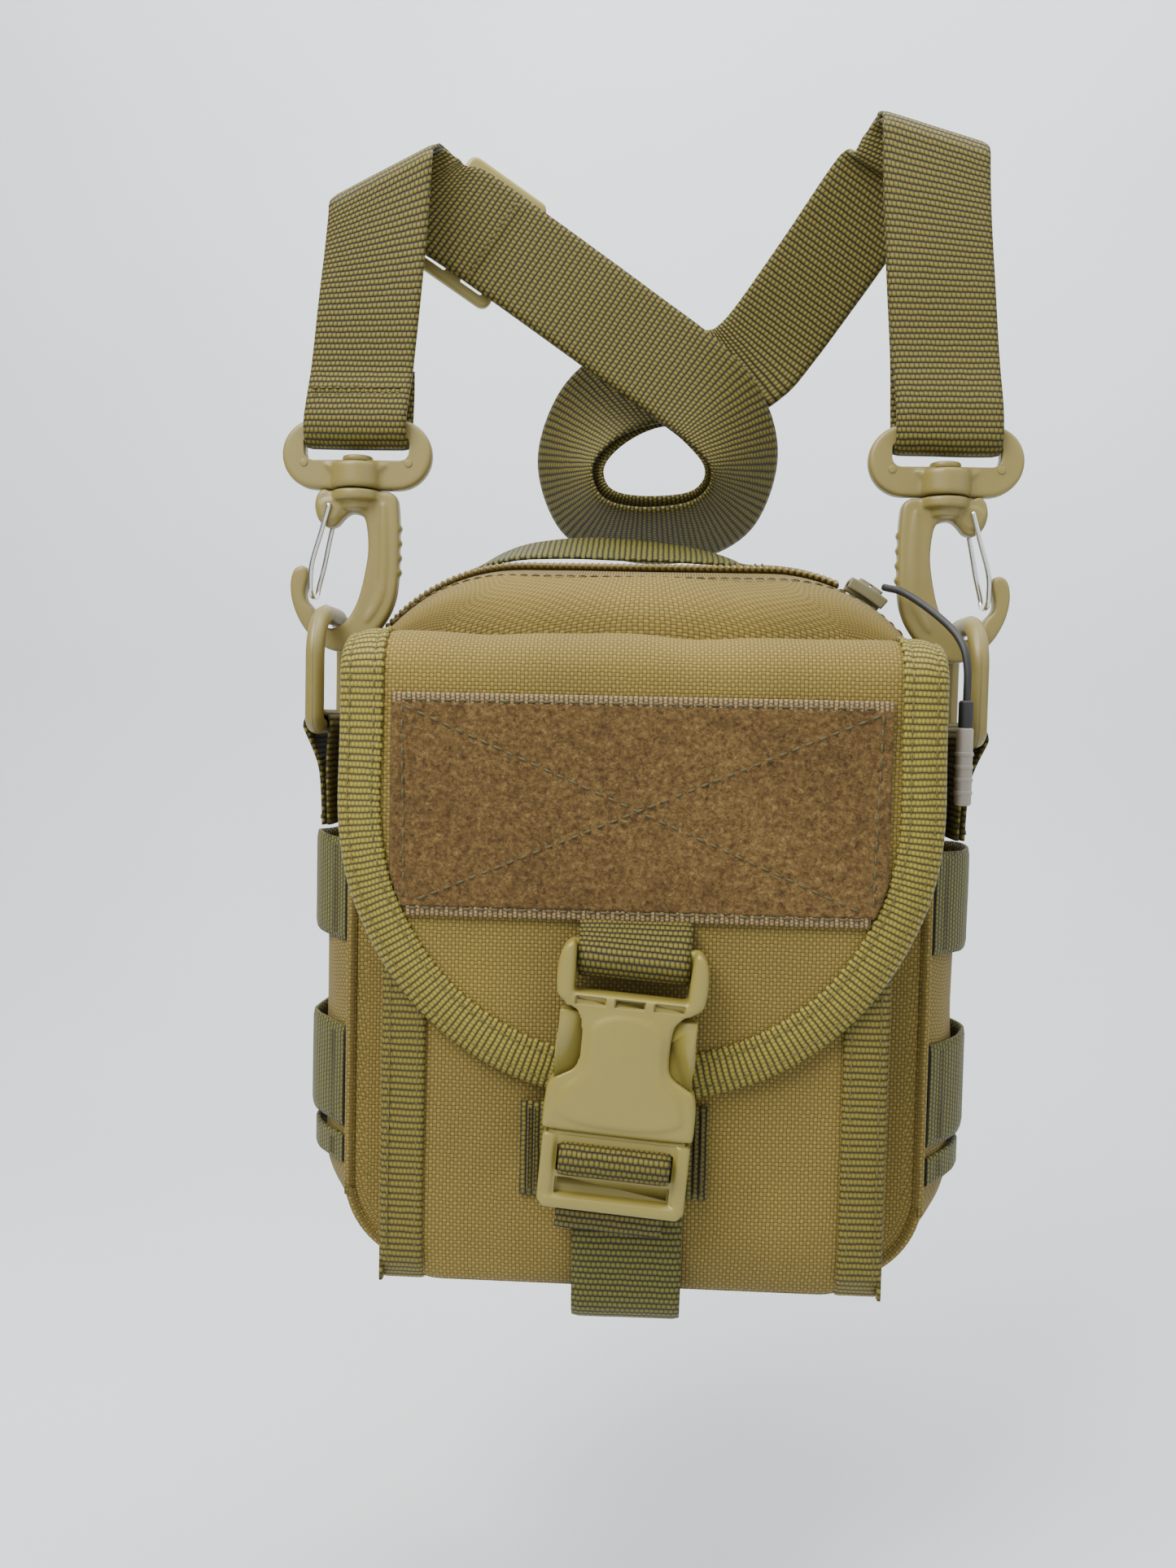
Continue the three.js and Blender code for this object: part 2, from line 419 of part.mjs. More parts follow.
// ---------------------------------------------------------------- swivel ring, snap hook and wire gate, right side; left is the mirror
for (const [s, side] of [[-1, 'left'], [1, 'right']]) {
  // oval strap ring with a swivel collar
  const zc = BAR_Z - HOOK_Z;                       // bar centre above the seam
  const oval = (a, t, b, n) => [ ...arc(a, t, b, -90, 90, n), ...arc(-a, t, b, 90, 270, n) ];
  const zm = (zc + 2.5 + 1.9) / 2;
  const outer = oval(19 - 8.8, zc + 2.5 - 8.8, 8.8, 8);
  const innerO = [...arc(12.2, 11.5, 1.2, 0, 90, 2), ...arc(-12.2, 11.5, 1.2, 90, 180, 2), ...arc(-11.2, 9.6, 2.2, 180, 270, 3), ...arc(11.2, 9.6, 2.2, 270, 360, 3)];
  let ring = toManifold(slabXZ(outer, -2.1, 2.1, [innerO]));
  const collarO = new THREE.CylinderGeometry(6.7, 6.7, 6.4, 24); collarO.rotateX(Math.PI / 2); collarO.translate(0, 0, 3.4);
  const boreO = new THREE.CylinderGeometry(3.3, 3.3, 12, 20); boreO.rotateX(Math.PI / 2); boreO.translate(0, 0, 3.0);
  const trimTop = toManifold(box(-5, 5, -8, 8, 6.6, 9.3));
  ring = ring.subtract(trimTop).add(toManifold(collarO)).subtract(toManifold(boreO));
  ring = ring.translate([s * HOOK_X, HOOK_Y, HOOK_Z]);
  addM(`strap_ring_${side}`, ring, PLASTIC);

  // hook: disc and pin through the collar, spine on the bag side, throat, nose and ear on the outer side
  const disc = new THREE.CylinderGeometry(6.3, 6.3, 2.9, 24); disc.rotateX(Math.PI / 2); disc.translate(0, 0, -1.45);
  const pin = new THREE.CylinderGeometry(2.7, 2.7, 9.4, 16); pin.rotateX(Math.PI / 2); pin.translate(0, 0, 3.4);
  const head = new THREE.CylinderGeometry(3.9, 3.9, 1.5, 16); head.rotateX(Math.PI / 2); head.translate(0, 0, 7.75);
  const H = [[-8.6, -0.6], [-10.0, -2.0], [-10.7, -5], [-10.9, -13], [-10.6, -24], [-9.4, -30], [-6.6, -34.6], [-3.2, -38.0], [1.0, -40.4], [5.2, -40.8],
    [9.4, -38.8], [13.0, -35.2], [15.6, -30.4], [16.6, -26.0], [16.5, -22.6], [15.6, -20.4], [14.0, -19.6], [12.4, -20.2],
    [12.0, -22.0], [12.9, -25.6], [12.7, -28.2], [10.8, -30.0], [9.9, -32.2], [9.0, -34.4], [6.2, -35.4], [3.4, -34.4], [1.0, -31.6], [-1.0, -27], [-2.6, -20], [-3.0, -14], [-2.0, -7.4],
    [-0.6, -6.2], [1.6, -6.0], [3.4, -7.4], [5.0, -9.2], [7.4, -9.4], [9.4, -7.6], [10.4, -4.4], [9.8, -1.2], [8.4, 0.2], [6.9, 0.2], [6.7, -0.6]];
  let hook = toManifold(slabXZ([...H].reverse(), -2.4, 2.4));
  const up = toManifold(box(-12, 12, -4, 4, -0.35, 4));
  hook = hook.subtract(up).add(toManifold(disc)).subtract(toManifold(box(-12, 12, -8, 8, -0.15, 0.15))).add(toManifold(pin)).add(toManifold(head));
  // wire gate: two legs either side of the plate, joined under the nose
  const wr = 0.6, yo = 2.4 + 0.35 + wr;
  const P = [V(6.9, -yo, -5.0), V(8.6, -yo, -11.5), V(11.4, -yo, -21.0), V(12.9, -yo, -26.9), V(12.9, -yo * 0.55, -27.4)];
  const gatePts = [V(6.4, -yo, -3.9), V(8.4, -yo, -11), V(10.7, -yo, -19), V(11.0, -yo, -24.6), V(10.8, -yo + 0.9, -26.9), V(10.8, 0, -27.3), V(10.8, yo - 0.9, -26.9), V(10.6, yo, -24.6), V(9.2, yo, -19), V(7.8, yo, -12), V(6.6, yo, -6.6)];
  let gate = toManifold(bar(gatePts, wr, 6, 30));
  if (s < 0) { hook = hook.mirror([1, 0, 0]); gate = gate.mirror([1, 0, 0]); }
  addM(`snap_hook_${side}`, hook.translate([s * HOOK_X, HOOK_Y, HOOK_Z]), PLASTIC);
  addM(`gate_wire_${side}`, gate.translate([s * HOOK_X, HOOK_Y, HOOK_Z]), STEEL);
}

// ---------------------------------------------------------------- shoulder strap
const T1 = 1.2, T2 = 2.6, HW = STRAP_W / 2;
// one leg hanging from its fold: the wrap round the ring bar, the drop and the fold over the support
function wrapArc(x, r, a0, a1, n) {
  const out = [];
  for (let i = 0; i <= n; i++) {
    const a = THREE.MathUtils.degToRad(a0 + (a1 - a0) * i / n);
    out.push({ p: V(x, HOOK_Y + r * Math.cos(a), BAR_Z + r * Math.sin(a)), w: V(HW, 0, 0) });
  }
  return out;
}
// fold over a support rod inclined by phi: centre O, path radius r, angle span in degrees
function fold(O, phi, r, a0, a1, n) {
  const ph = THREE.MathUtils.degToRad(phi);
  const a = V(Math.cos(ph), 0, Math.sin(ph)), b = V(-Math.sin(ph), 0, Math.cos(ph));
  const w = a.clone().multiplyScalar(HW / Math.cos(ph));
  const out = [];
  for (let i = 0; i <= n; i++) {
    const th = THREE.MathUtils.degToRad(a0 + (a1 - a0) * i / n);
    const q = r * th;
    const p = O.clone().addScaledVector(V(0, -1, 0), r * Math.cos(th)).addScaledVector(b, r * Math.sin(th)).addScaledVector(a, q * Math.tan(ph));
    out.push({ p, w: w.clone() });
  }
  return out;
}
const OL = V(-68.8, -28.6, 172.6), PHL = 27, RF = 4.2;
const OR = V(68.8, -28.6, 182.6), PHR = -17.5;
const rw = 4.3;
{
  // left: single layer above the stitched end
  const st = [
    { p: V(-72.8, -30.6, 127.5), w: V(HW, 0, 0) },
    { p: V(-73.2, -28.4, 122), w: V(HW, 0, 0) },
    { p: V(-73.8, HOOK_Y + rw, 114.5), w: V(HW, 0, 0) },
    ...wrapArc(-HOOK_X, rw, 0, -180, 8),
    { p: V(-73.8, HOOK_Y - rw, 116), w: V(HW, 0, 0) },
    { p: V(-73.2, -33.7, 123), w: V(HW, 0, 0) },
    { p: V(-72.7, -32.5, 129), w: V(HW, 0, 0) },
    { p: V(-71.0, -32.8, 146), w: V(HW, 0, 0.8) },
    { p: V(-69.7, -32.8, 160), w: V(HW, 0, 3.2) },
    ...fold(OL, PHL, RF, 0, 92, 5),
  ];
  add('strap_drop_left', ribbon(st, T1), WEBBING);
}
{
  // right: the strap runs down in front, through the ring and back up behind
  const st = [
    ...fold(OR, PHR, RF - 0.8, 92, 0, 5),
    { p: V(69.5, -31.9, 168), w: V(HW, 0, -2.2) },
    { p: V(71.0, -31.4, 150), w: V(HW, 0, -0.5) },
    { p: V(72.6, -30.4, 132), w: V(HW, 0, 0) },
    { p: V(73.7, HOOK_Y + rw - 0.3, 119), w: V(HW, 0, 0) },
    ...wrapArc(HOOK_X, rw, 0, -180, 8),
    { p: V(73.7, HOOK_Y - rw, 119), w: V(HW, 0, 0) },
    { p: V(72.6, -33.6, 132), w: V(HW, 0, 0) },
    { p: V(71.0, -33.6, 150), w: V(HW, 0, -0.5) },
    { p: V(69.5, -33.7, 168), w: V(HW, 0, -2.2) },
    ...fold(OR, PHR, RF + 0.9, 0, 92, 5),
  ];
  add('strap_drop_right', ribbon(st, T1), WEBBING);
}
// diagonal runs: doubled webbing
const dirPerp = (dx, dz) => { const l = Math.hypot(dx, dz); return [-dz / l * HW, 0, dx / l * HW]; };
{
  const st = [...fold(OL, PHL, RF, 98, 180, 5)];
  const e = st[st.length - 1].p;
  const up = [0.56 * HW, 0, 0.83 * HW];
  st.push(...run([
    [e.x + 5, -23.4, e.z - 3.6, 0.70 * HW, 0, 0.72 * HW],
    [-50.5, -21.5, 169.8, 0.60 * HW, 0, 0.80 * HW],
    [-32.1, -18, 158.3, ...up],
    [-9.3, -15, 143.2, ...up],
    [-2, -14.3, 138.2, ...up],
  ], 14));
  add('strap_diagonal_left', ribbon(st, T2), WEBBING);
}
{
  const st = [...fold(OR, PHR, RF, 98, 180, 5)];
  const e = st[st.length - 1].p;
  const side2 = [0.80 * HW, 0, -0.59 * HW];
  st.push(...run([
    [e.x - 3.4, -23.2, e.z - 5.0, 0.88 * HW, 0, -0.46 * HW],
    [57.4, -19.4, 178.0, ...side2],
    [44.5, -10, 160.6, ...side2],
    [33.5, -4.0, 145.8, ...side2],
    [30.5, -2.9, 142.2, ...side2],
  ], 12));
  add('strap_diagonal_right', ribbon(st, T2), WEBBING);
}
{
  // the loose curl that ties the two runs together
  const k = (x, y, z, wx, wy, wz) => { const l = Math.hypot(wx, wy, wz); return [x, y, z, wx / l * HW, wy / l * HW, wz / l * HW]; };
  const st = run([
    k(-1.2, -14.2, 137.7, 0.56, 0, 0.83),
    k(10.8, -13, 129.4, 0.60, 0.10, 0.80),
    k(20.0, -10.5, 120.6, 0.78, 0.35, 0.52),
    k(24.6, -6.5, 110.3, 0.72, 0.66, 0.18),
    k(21.8, -1.5, 100.0, 0.50, 0.78, -0.25),
    k(12.2, 2, 94.4, 0.18, 0.86, -0.44),
    k(-3.8, 3, 93.6, -0.06, 0.88, -0.44),
    k(-17.0, 2.5, 98.2, -0.42, 0.82, -0.26),
    k(-21.6, 1.5, 110.4, -0.62, 0.76, 0.14),
    k(-16.6, 1.6, 123.0, -0.66, 0.50, 0.54),
    k(-6.0, 1.8, 131.4, -0.58, 0.18, 0.78),
    k(8, 0.4, 134.0, -0.40, 0.02, 0.90),
    k(20, -1.2, 134.8, -0.42, 0, 0.88),
    k(27.2, -2.4, 138.6, -0.70, 0, 0.70),
    k(30.2, -2.9, 141.8, -0.80, 0, 0.59),
  ], 72);
  add('strap_knot', ribbon(st, T2), WEBBING);
}
// ladder slider behind the left run
{
  const f = toManifold(box(-15.9, 15.9, 0, 3.4, -12, 12));
  const s1 = toManifold(box(-13.2, 13.2, -1, 5, 2.2, 9));
  const s2 = toManifold(box(-13.2, 13.2, -1, 5, -9, -2.2));
  const g = fromManifold(f.subtract(s1).subtract(s2));
  // local X across the band, local Y towards its back, local Z along it
  const along = V(-50.5, -21.5, 169.8).sub(V(-32.1, -18, 158.3)).normalize();
  const across = V(0.58, 0, 0.81).addScaledVector(along, -V(0.58, 0, 0.81).dot(along)).normalize();
  const back = along.clone().cross(across).normalize();
  if (back.y < 0) { back.negate(); across.negate(); }
  const at = V(-45.5, -20.5, 166.7).addScaledVector(back, 2.6);
  g.applyMatrix4(new THREE.Matrix4().makeBasis(across, back, along).setPosition(at));
  add('strap_slider', g, PLASTIC);
}

export default bag;
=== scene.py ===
import bpy, bmesh, math, random, json
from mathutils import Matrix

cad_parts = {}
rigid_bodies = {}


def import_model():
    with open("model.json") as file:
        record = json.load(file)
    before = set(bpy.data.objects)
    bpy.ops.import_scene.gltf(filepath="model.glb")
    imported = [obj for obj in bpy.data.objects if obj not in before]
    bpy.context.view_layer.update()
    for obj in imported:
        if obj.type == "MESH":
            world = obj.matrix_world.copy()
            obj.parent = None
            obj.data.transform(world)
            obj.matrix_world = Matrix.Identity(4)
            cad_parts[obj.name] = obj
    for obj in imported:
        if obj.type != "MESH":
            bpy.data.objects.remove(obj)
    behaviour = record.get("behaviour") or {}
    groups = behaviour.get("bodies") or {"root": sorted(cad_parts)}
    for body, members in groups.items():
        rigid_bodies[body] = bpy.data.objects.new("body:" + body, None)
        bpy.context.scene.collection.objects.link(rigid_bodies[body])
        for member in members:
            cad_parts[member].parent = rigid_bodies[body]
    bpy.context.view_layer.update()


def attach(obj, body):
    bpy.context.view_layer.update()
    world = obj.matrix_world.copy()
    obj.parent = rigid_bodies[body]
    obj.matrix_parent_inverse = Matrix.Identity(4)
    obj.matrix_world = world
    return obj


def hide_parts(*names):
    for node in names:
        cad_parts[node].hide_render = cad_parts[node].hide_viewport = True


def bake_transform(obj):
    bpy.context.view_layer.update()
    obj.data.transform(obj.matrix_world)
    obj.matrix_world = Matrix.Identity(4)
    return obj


for _o in list(bpy.data.objects): bpy.data.objects.remove(_o)
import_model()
from mathutils import Vector, Matrix, noise, geometry
S = 0.001
V = Vector
scene = bpy.context.scene
random.seed(7)
rad = math.radians

# ------------------------------------------------------------------ shared dimensions (mm), same frame as the CAD
HALF_W, TOP_Z, BOT_Z, R_TOP, R_BOT = 76.5, 80.0, -96.0, 46.0, 25.0
FLAP_Y, FOLD_Z = -74.4, 60.5
HOOK_X, HOOK_Y, HOOK_Z, BAR_Z = 74.0, -31.0, 97.3, 112.5
RING_X, RING_Y, RING_Z = 80.4, -31.0, 37.5
BUCKLE = (0.4, -80.6, -8.5)
TILT = rad(4.5)
STRAP_HW = 13.0

# ------------------------------------------------------------------ node helpers
class NT:
    def __init__(self, name):
        self.mat = bpy.data.materials.new(name)
        self.mat.use_nodes = True
        self.t = self.mat.node_tree
        self.t.nodes.clear()
        self.out = self.t.nodes.new("ShaderNodeOutputMaterial")
        self.bsdf = self.t.nodes.new("ShaderNodeBsdfPrincipled")
        self.t.links.new(self.bsdf.outputs[0], self.out.inputs[0])
    def n(self, kind, **kw):
        nd = self.t.nodes.new(kind)
        for k, v in kw.items():
            setattr(nd, k, v)
        return nd
    def link(self, a, b):
        self.t.links.new(a, b)
    def put(self, sock, v):
        if hasattr(v, "is_output") or isinstance(v, bpy.types.NodeSocket):
            self.t.links.new(v, sock)
        else:
            sock.default_value = v
    def m(self, op, a, b=None, c=None, clamp=False):
        nd = self.n("ShaderNodeMath", operation=op, use_clamp=clamp)
        self.put(nd.inputs[0], a)
        if b is not None: self.put(nd.inputs[1], b)
        if c is not None: self.put(nd.inputs[2], c)
        return nd.outputs[0]
    def uv(self):
        tc = self.n("ShaderNodeTexCoord")
        sep = self.n("ShaderNodeSeparateXYZ")
        self.link(tc.outputs["UV"], sep.inputs[0])
        return tc.outputs["UV"], sep.outputs[0], sep.outputs[1]
    def obj(self):
        return self.n("ShaderNodeTexCoord").outputs["Object"]
    def noise(self, vec, scale, detail=2.0, rough=0.5, dist=0.0):
        nd = self.n("ShaderNodeTexNoise")
        self.link(vec, nd.inputs["Vector"])
        nd.inputs["Scale"].default_value = scale
        nd.inputs["Detail"].default_value = detail
        nd.inputs["Roughness"].default_value = rough
        nd.inputs["Distortion"].default_value = dist
        return nd.outputs["Fac"]
    def ramp(self, fac, stops):
        nd = self.n("ShaderNodeValToRGB")
        cr = nd.color_ramp
        while len(cr.elements) > 1: cr.elements.remove(cr.elements[-1])
        cr.elements[0].position = stops[0][0]; cr.elements[0].color = (*stops[0][1], 1)
        for p, c in stops[1:]:
            e = cr.elements.new(p); e.color = (*c, 1)
        self.put(nd.inputs[0], fac)
        return nd.outputs[0]
    def mix(self, fac, a, b, blend="MIX"):
        nd = self.n("ShaderNodeMix", data_type="RGBA", blend_type=blend)
        self.put(nd.inputs["Factor"], fac)
        ia = [i for i in nd.inputs if i.name == "A" and i.type == "RGBA"][0]
        ib = [i for i in nd.inputs if i.name == "B" and i.type == "RGBA"][0]
        self.put(ia, a if not isinstance(a, tuple) else (*a, 1)); self.put(ib, b if not isinstance(b, tuple) else (*b, 1))
        return [o for o in nd.outputs if o.type == "RGBA"][0]
    def bump(self, height, strength, dist):
        nd = self.n("ShaderNodeBump")
        nd.inputs["Strength"].default_value = strength
        nd.inputs["Distance"].default_value = dist
        self.link(height, nd.inputs["Height"])
        return nd.outputs[0]
    def done(self, color=None, rough=None, normal=None, **consts):
        if color is not None: self.put(self.bsdf.inputs["Base Color"], color if not isinstance(color, tuple) else (*color, 1))
        if rough is not None: self.put(self.bsdf.inputs["Roughness"], rough)
        if normal is not None: self.link(normal, self.bsdf.inputs["Normal"])
        for k, v in consts.items():
            self.bsdf.inputs[k.replace("_", " ")].default_value = v
        return self.mat

def weave_fabric(name, warp, weft, dark, pitch=0.88, rough=0.72):
    """plain weave: UV is in millimetres"""
    g = NT(name)
    uv, u, v = g.uv()
    ob = g.obj()
    wob = g.m("MULTIPLY", g.m("SUBTRACT", g.noise(ob, 260.0, 1.0), 0.5), 0.5)
    a = g.m("DIVIDE", g.m("ADD", u, wob), pitch)
    b = g.m("DIVIDE", g.m("ADD", v, wob), pitch)
    chk = g.m("MODULO", g.m("ADD", g.m("FLOOR", a), g.m("FLOOR", b)), 2.0)
    chk = g.m("ABSOLUTE", chk)
    sa = g.m("ABSOLUTE", g.m("SINE", g.m("MULTIPLY", a, math.pi)))
    sb = g.m("ABSOLUTE", g.m("SINE", g.m("MULTIPLY", b, math.pi)))
    # a warp yarn on top is long across v and narrow across u
    hw = g.m("MULTIPLY", g.m("POWER", sa, 0.7), g.m("POWER", sb, 0.45))
    hf = g.m("MULTIPLY", g.m("POWER", sb, 0.7), g.m("POWER", sa, 0.45))
    inv = g.m("SUBTRACT", 1.0, chk)
    h = g.m("ADD", g.m("MULTIPLY", hw, chk), g.m("MULTIPLY", g.m("MULTIPLY", hf, inv), 0.92))
    big = g.noise(ob, 22.0, 3.0, 0.55)
    fleck = g.noise(ob, 900.0, 1.0)
    cw = g.mix(fleck, warp, tuple(c * 1.25 for c in warp))
    cf = g.mix(fleck, weft, tuple(c * 0.8 for c in weft))
    yarn = g.mix(chk, cf, cw)
    col = g.mix(g.ramp(h, [(0.0, (0, 0, 0)), (0.62, (1, 1, 1))]), dark, yarn)
    wear = g.ramp(big, [(0.35, (0.86, 0.86, 0.86)), (0.7, (1.1, 1.08, 1.02))])
    col = g.mix(1.0, col, wear, "MULTIPLY")
    rg = g.m("ADD", rough - 0.08, g.m("MULTIPLY", fleck, 0.16))
    return g.done(col, rg, g.bump(h, 0.75, 0.00016), Sheen_Weight=0.03, Sheen_Roughness=0.5, Specular_IOR_Level=0.22)

def webbing(name, hi, lo, dark, row=1.45, colp=1.12, rough=0.6, bump=0.95, dist=0.00034, colw=0.72):
    """ribbed webbing: rows across the strap (v), yarn columns (u); painted shade in the grooves, painted highlight on
    the rib crests
    """
    g = NT(name)
    uv, u, v = g.uv()
    ob = g.obj()
    wob = g.m("MULTIPLY", g.m("SUBTRACT", g.noise(ob, 300.0, 1.0), 0.5), 0.35)
    r = g.m("DIVIDE", g.m("ADD", v, wob), row)
    ri = g.m("FLOOR", r)
    fr = g.m("FRACT", r)
    half = g.m("MULTIPLY", g.m("ABSOLUTE", g.m("MODULO", ri, 2.0)), 0.5)
    c = g.m("ADD", g.m("DIVIDE", g.m("ADD", u, wob), colp), half)
    fc = g.m("FRACT", c)
    sr = g.m("POWER", g.m("SINE", g.m("MULTIPLY", fr, math.pi)), 0.75)
    sc = g.m("POWER", g.m("SINE", g.m("MULTIPLY", fc, math.pi)), 0.6)
    h = g.m("MULTIPLY", sr, g.m("ADD", 1.0 - colw, g.m("MULTIPLY", sc, colw)))
    fleck = g.noise(ob, 700.0, 2.0)
    big = g.noise(ob, 30.0, 2.0)
    tone = g.mix(g.m("MULTIPLY", g.m("ADD", fleck, big), 0.5), lo, hi)
    # painted shade: grooves fall to the dark colour; painted highlight: rib crests rise to 1.35 times the high colour
    col = g.mix(g.ramp(h, [(0.12, (0, 0, 0)), (0.80, (1, 1, 1))]), dark, g.mix(g.m("POWER", h, 2.0), tone, tuple(min(1.0, c * 1.35) for c in hi)))
    return g.done(col, rough, g.bump(h, bump, dist), Sheen_Weight=0.03, Sheen_Roughness=0.45, Specular_IOR_Level=0.28)

def plastic(name, base, rough=0.42, grain=1700.0, strength=0.16):
    g = NT(name)
    ob = g.obj()
    fine = g.noise(ob, grain, 2.0, 0.6)
    big = g.noise(ob, 70.0, 3.0, 0.6)
    col = g.mix(big, tuple(c * 0.9 for c in base), tuple(c * 1.08 for c in base))
    rg = g.m("ADD", rough - 0.06, g.m("MULTIPLY", big, 0.14))
    return g.done(col, rg, g.bump(fine, strength, 0.00012), Specular_IOR_Level=0.5)

M = {}
M["body"] = weave_fabric("olive_oxford", (0.212, 0.142, 0.033), (0.168, 0.132, 0.026), (0.046, 0.033, 0.008), 0.85)
# painted shade: a darker copy of the body fabric for the side, used on the back bead
M["gusset"] = weave_fabric("olive_oxford_side_shaded", (0.20, 0.125, 0.034), (0.135, 0.110, 0.024), (0.026, 0.019, 0.005), 0.88)
# the third colour of each webbing is the painted shade in its grooves
M["web"] = webbing("olive_webbing", (0.106, 0.085, 0.010), (0.058, 0.046, 0.006), (0.006, 0.005, 0.001), rough=0.6)
M["web2"] = webbing("olive_webbing_dark", (0.098, 0.088, 0.010), (0.055, 0.048, 0.006), (0.006, 0.006, 0.001))
M["bind"] = webbing("olive_binding", (0.196, 0.158, 0.020), (0.112, 0.086, 0.012), (0.024, 0.020, 0.005), row=1.5, colp=0.95, bump=0.8, dist=0.00024, colw=0.55)
# painted shade: the pocket's binding is the flap binding made darker
M["bind2"] = webbing("olive_binding_pocket", (0.128, 0.101, 0.012), (0.074, 0.056, 0.008), (0.016, 0.013, 0.003), row=1.5, colp=0.95, bump=0.8, dist=0.00024, colw=0.55)
M["selv"] = webbing("loop_selvedge", (0.20, 0.135, 0.055), (0.13, 0.088, 0.034), (0.03, 0.02, 0.008), row=1.1, colp=0.8, bump=0.5, dist=0.00015)
M["lining"] = weave_fabric("dark_lining", (0.05, 0.045, 0.02), (0.04, 0.038, 0.018), (0.01, 0.009, 0.004), 0.5)
M["tape"] = webbing("zipper_tape", (0.17, 0.12, 0.034), (0.12, 0.085, 0.024), (0.018, 0.013, 0.004), row=0.7, colp=0.6, bump=0.6, dist=0.00012)
M["plastic"] = plastic("moulded_olive_plastic", (0.215, 0.175, 0.036), 0.36)
M["plastic2"] = plastic("moulded_olive_plastic_matt", (0.180, 0.142, 0.038), 0.42, 1500.0, 0.2)
M["coil"] = plastic("zipper_coil_nylon", (0.150, 0.108, 0.030), 0.36, 2500.0, 0.05)
M["paint"] = plastic("painted_slider", (0.12, 0.105, 0.045), 0.40, 1200.0, 0.1)
M["black"] = plastic("black_cord", (0.014, 0.014, 0.013), 0.55, 1500.0, 0.3)
M["grey"] = plastic("grey_grip", (0.27, 0.235, 0.195), 0.5, 1200.0, 0.15)
M["foam"] = plastic("closed_cell_foam", (0.22, 0.21, 0.19), 0.9, 900.0, 0.5)
M["thread"] = plastic("sewing_thread", (0.088, 0.074, 0.014), 0.6, 3000.0, 0.2)
M["thread_dark"] = plastic("sewing_thread_dark", (0.062, 0.048, 0.012), 0.65, 3000.0, 0.2)
g = NT("spring_wire"); fine = g.noise(g.obj(), 900.0, 2.0)
M["steel"] = g.done((0.72, 0.71, 0.69), g.m("ADD", 0.16, g.m("MULTIPLY", fine, 0.12)), g.bump(fine, 0.05, 0.00005), Metallic=1.0)
# looped pile
g = NT("loop_pile"); ob = g.obj()
n1 = g.noise(ob, 1150.0, 4.0, 0.7, 0.6); n2 = g.noise(ob, 700.0, 3.0, 0.65); n3 = g.noise(ob, 35.0, 3.0)
mixn = g.m("ADD", g.m("MULTIPLY", n1, 0.6), g.m("MULTIPLY", n2, 0.4))
col = g.ramp(mixn, [(0.30, (0.020, 0.011, 0.003)), (0.46, (0.085, 0.048, 0.015)), (0.57, (0.135, 0.082, 0.026)), (0.74, (0.27, 0.185, 0.07))])
col = g.mix(1.0, col, g.ramp(n3, [(0.3, (0.88, 0.86, 0.84)), (0.7, (1.1, 1.1, 1.1))]), "MULTIPLY")
M["pile"] = g.done(col, 0.92, g.bump(mixn, 1.0, 0.0007), Sheen_Weight=0.05, Sheen_Roughness=0.6, Specular_IOR_Level=0.15)

# ------------------------------------------------------------------ mesh helpers (input in mm)
def mesh_obj(name, verts, faces, mat, uvs=None, smooth=True, mats=None, fmat=None):
    me = bpy.data.meshes.new(name)
    me.from_pydata([(p[0] * S, p[1] * S, p[2] * S) for p in verts], [], faces)
    if uvs is not None:
        lay = me.uv_layers.new(name="UVMap")
        for poly in me.polygons:
            for li in poly.loop_indices:
                lay.data[li].uv = uvs[me.loops[li].vertex_index]
    for m_ in (mats or [mat]): me.materials.append(m_)
    if fmat:
        for i, k in enumerate(fmat): me.polygons[i].material_index = k
    me.validate(); me.update()
    if smooth:
        me.polygons.foreach_set("use_smooth", [True] * len(me.polygons))
    ob_ = bpy.data.objects.new(name, me)
    scene.collection.objects.link(ob_)
    return ob_

def fix_normals(ob_):
    bm = bmesh.new(); bm.from_mesh(ob_.data)
    bmesh.ops.recalc_face_normals(bm, faces=bm.faces)
    bm.to_mesh(ob_.data); bm.free()

def bake(ob_):
    """apply every modifier"""
    dg = bpy.context.evaluated_depsgraph_get()
    ev = ob_.evaluated_get(dg)
    me = bpy.data.meshes.new_from_object(ev, preserve_all_data_layers=True, depsgraph=dg)
    ob_.modifiers.clear()
    old = ob_.data
    ob_.data = me
    me.name = old.name + "_m"
    return ob_

def subsurf(ob_, lv=1):
    m_ = ob_.modifiers.new("sub", "SUBSURF"); m_.levels = lv; m_.render_levels = lv
    return bake(ob_)

def cat(ctrl, n):
    """smooth points through control tuples, n+1 samples, roughly even"""
    P = [list(map(float, c)) for c in ctrl]
    k = len(P[0])
    P = [[2 * a - b for a, b in zip(P[0], P[1])]] + P + [[2 * a - b for a, b in zip(P[-1], P[-2])]]
    segs = len(P) - 3
    lens = [math.dist(P[i + 1][:3], P[i + 2][:3]) for i in range(segs)]
    tot = sum(lens) or 1
    out = []
    for j in range(n + 1):
        d = tot * j / n
        i = 0
        while i < segs - 1 and d > lens[i]:
            d -= lens[i]; i += 1
        t = min(1, d / (lens[i] or 1))
        p0, p1, p2, p3 = P[i:i + 4]
        out.append([0.5 * ((2 * b) + (-a + c) * t + (2 * a - 5 * b + 4 * c - e) * t * t + (-a + 3 * b - 3 * c + e) * t ** 3) for a, b, c, e in zip(p0, p1, p2, p3)])
    return out

def arc(cx, cz, r, a0, a1, n):
    return [(cx + r * math.cos(rad(a0 + (a1 - a0) * i / n)), cz + r * math.sin(rad(a0 + (a1 - a0) * i / n))) for i in range(n + 1)]

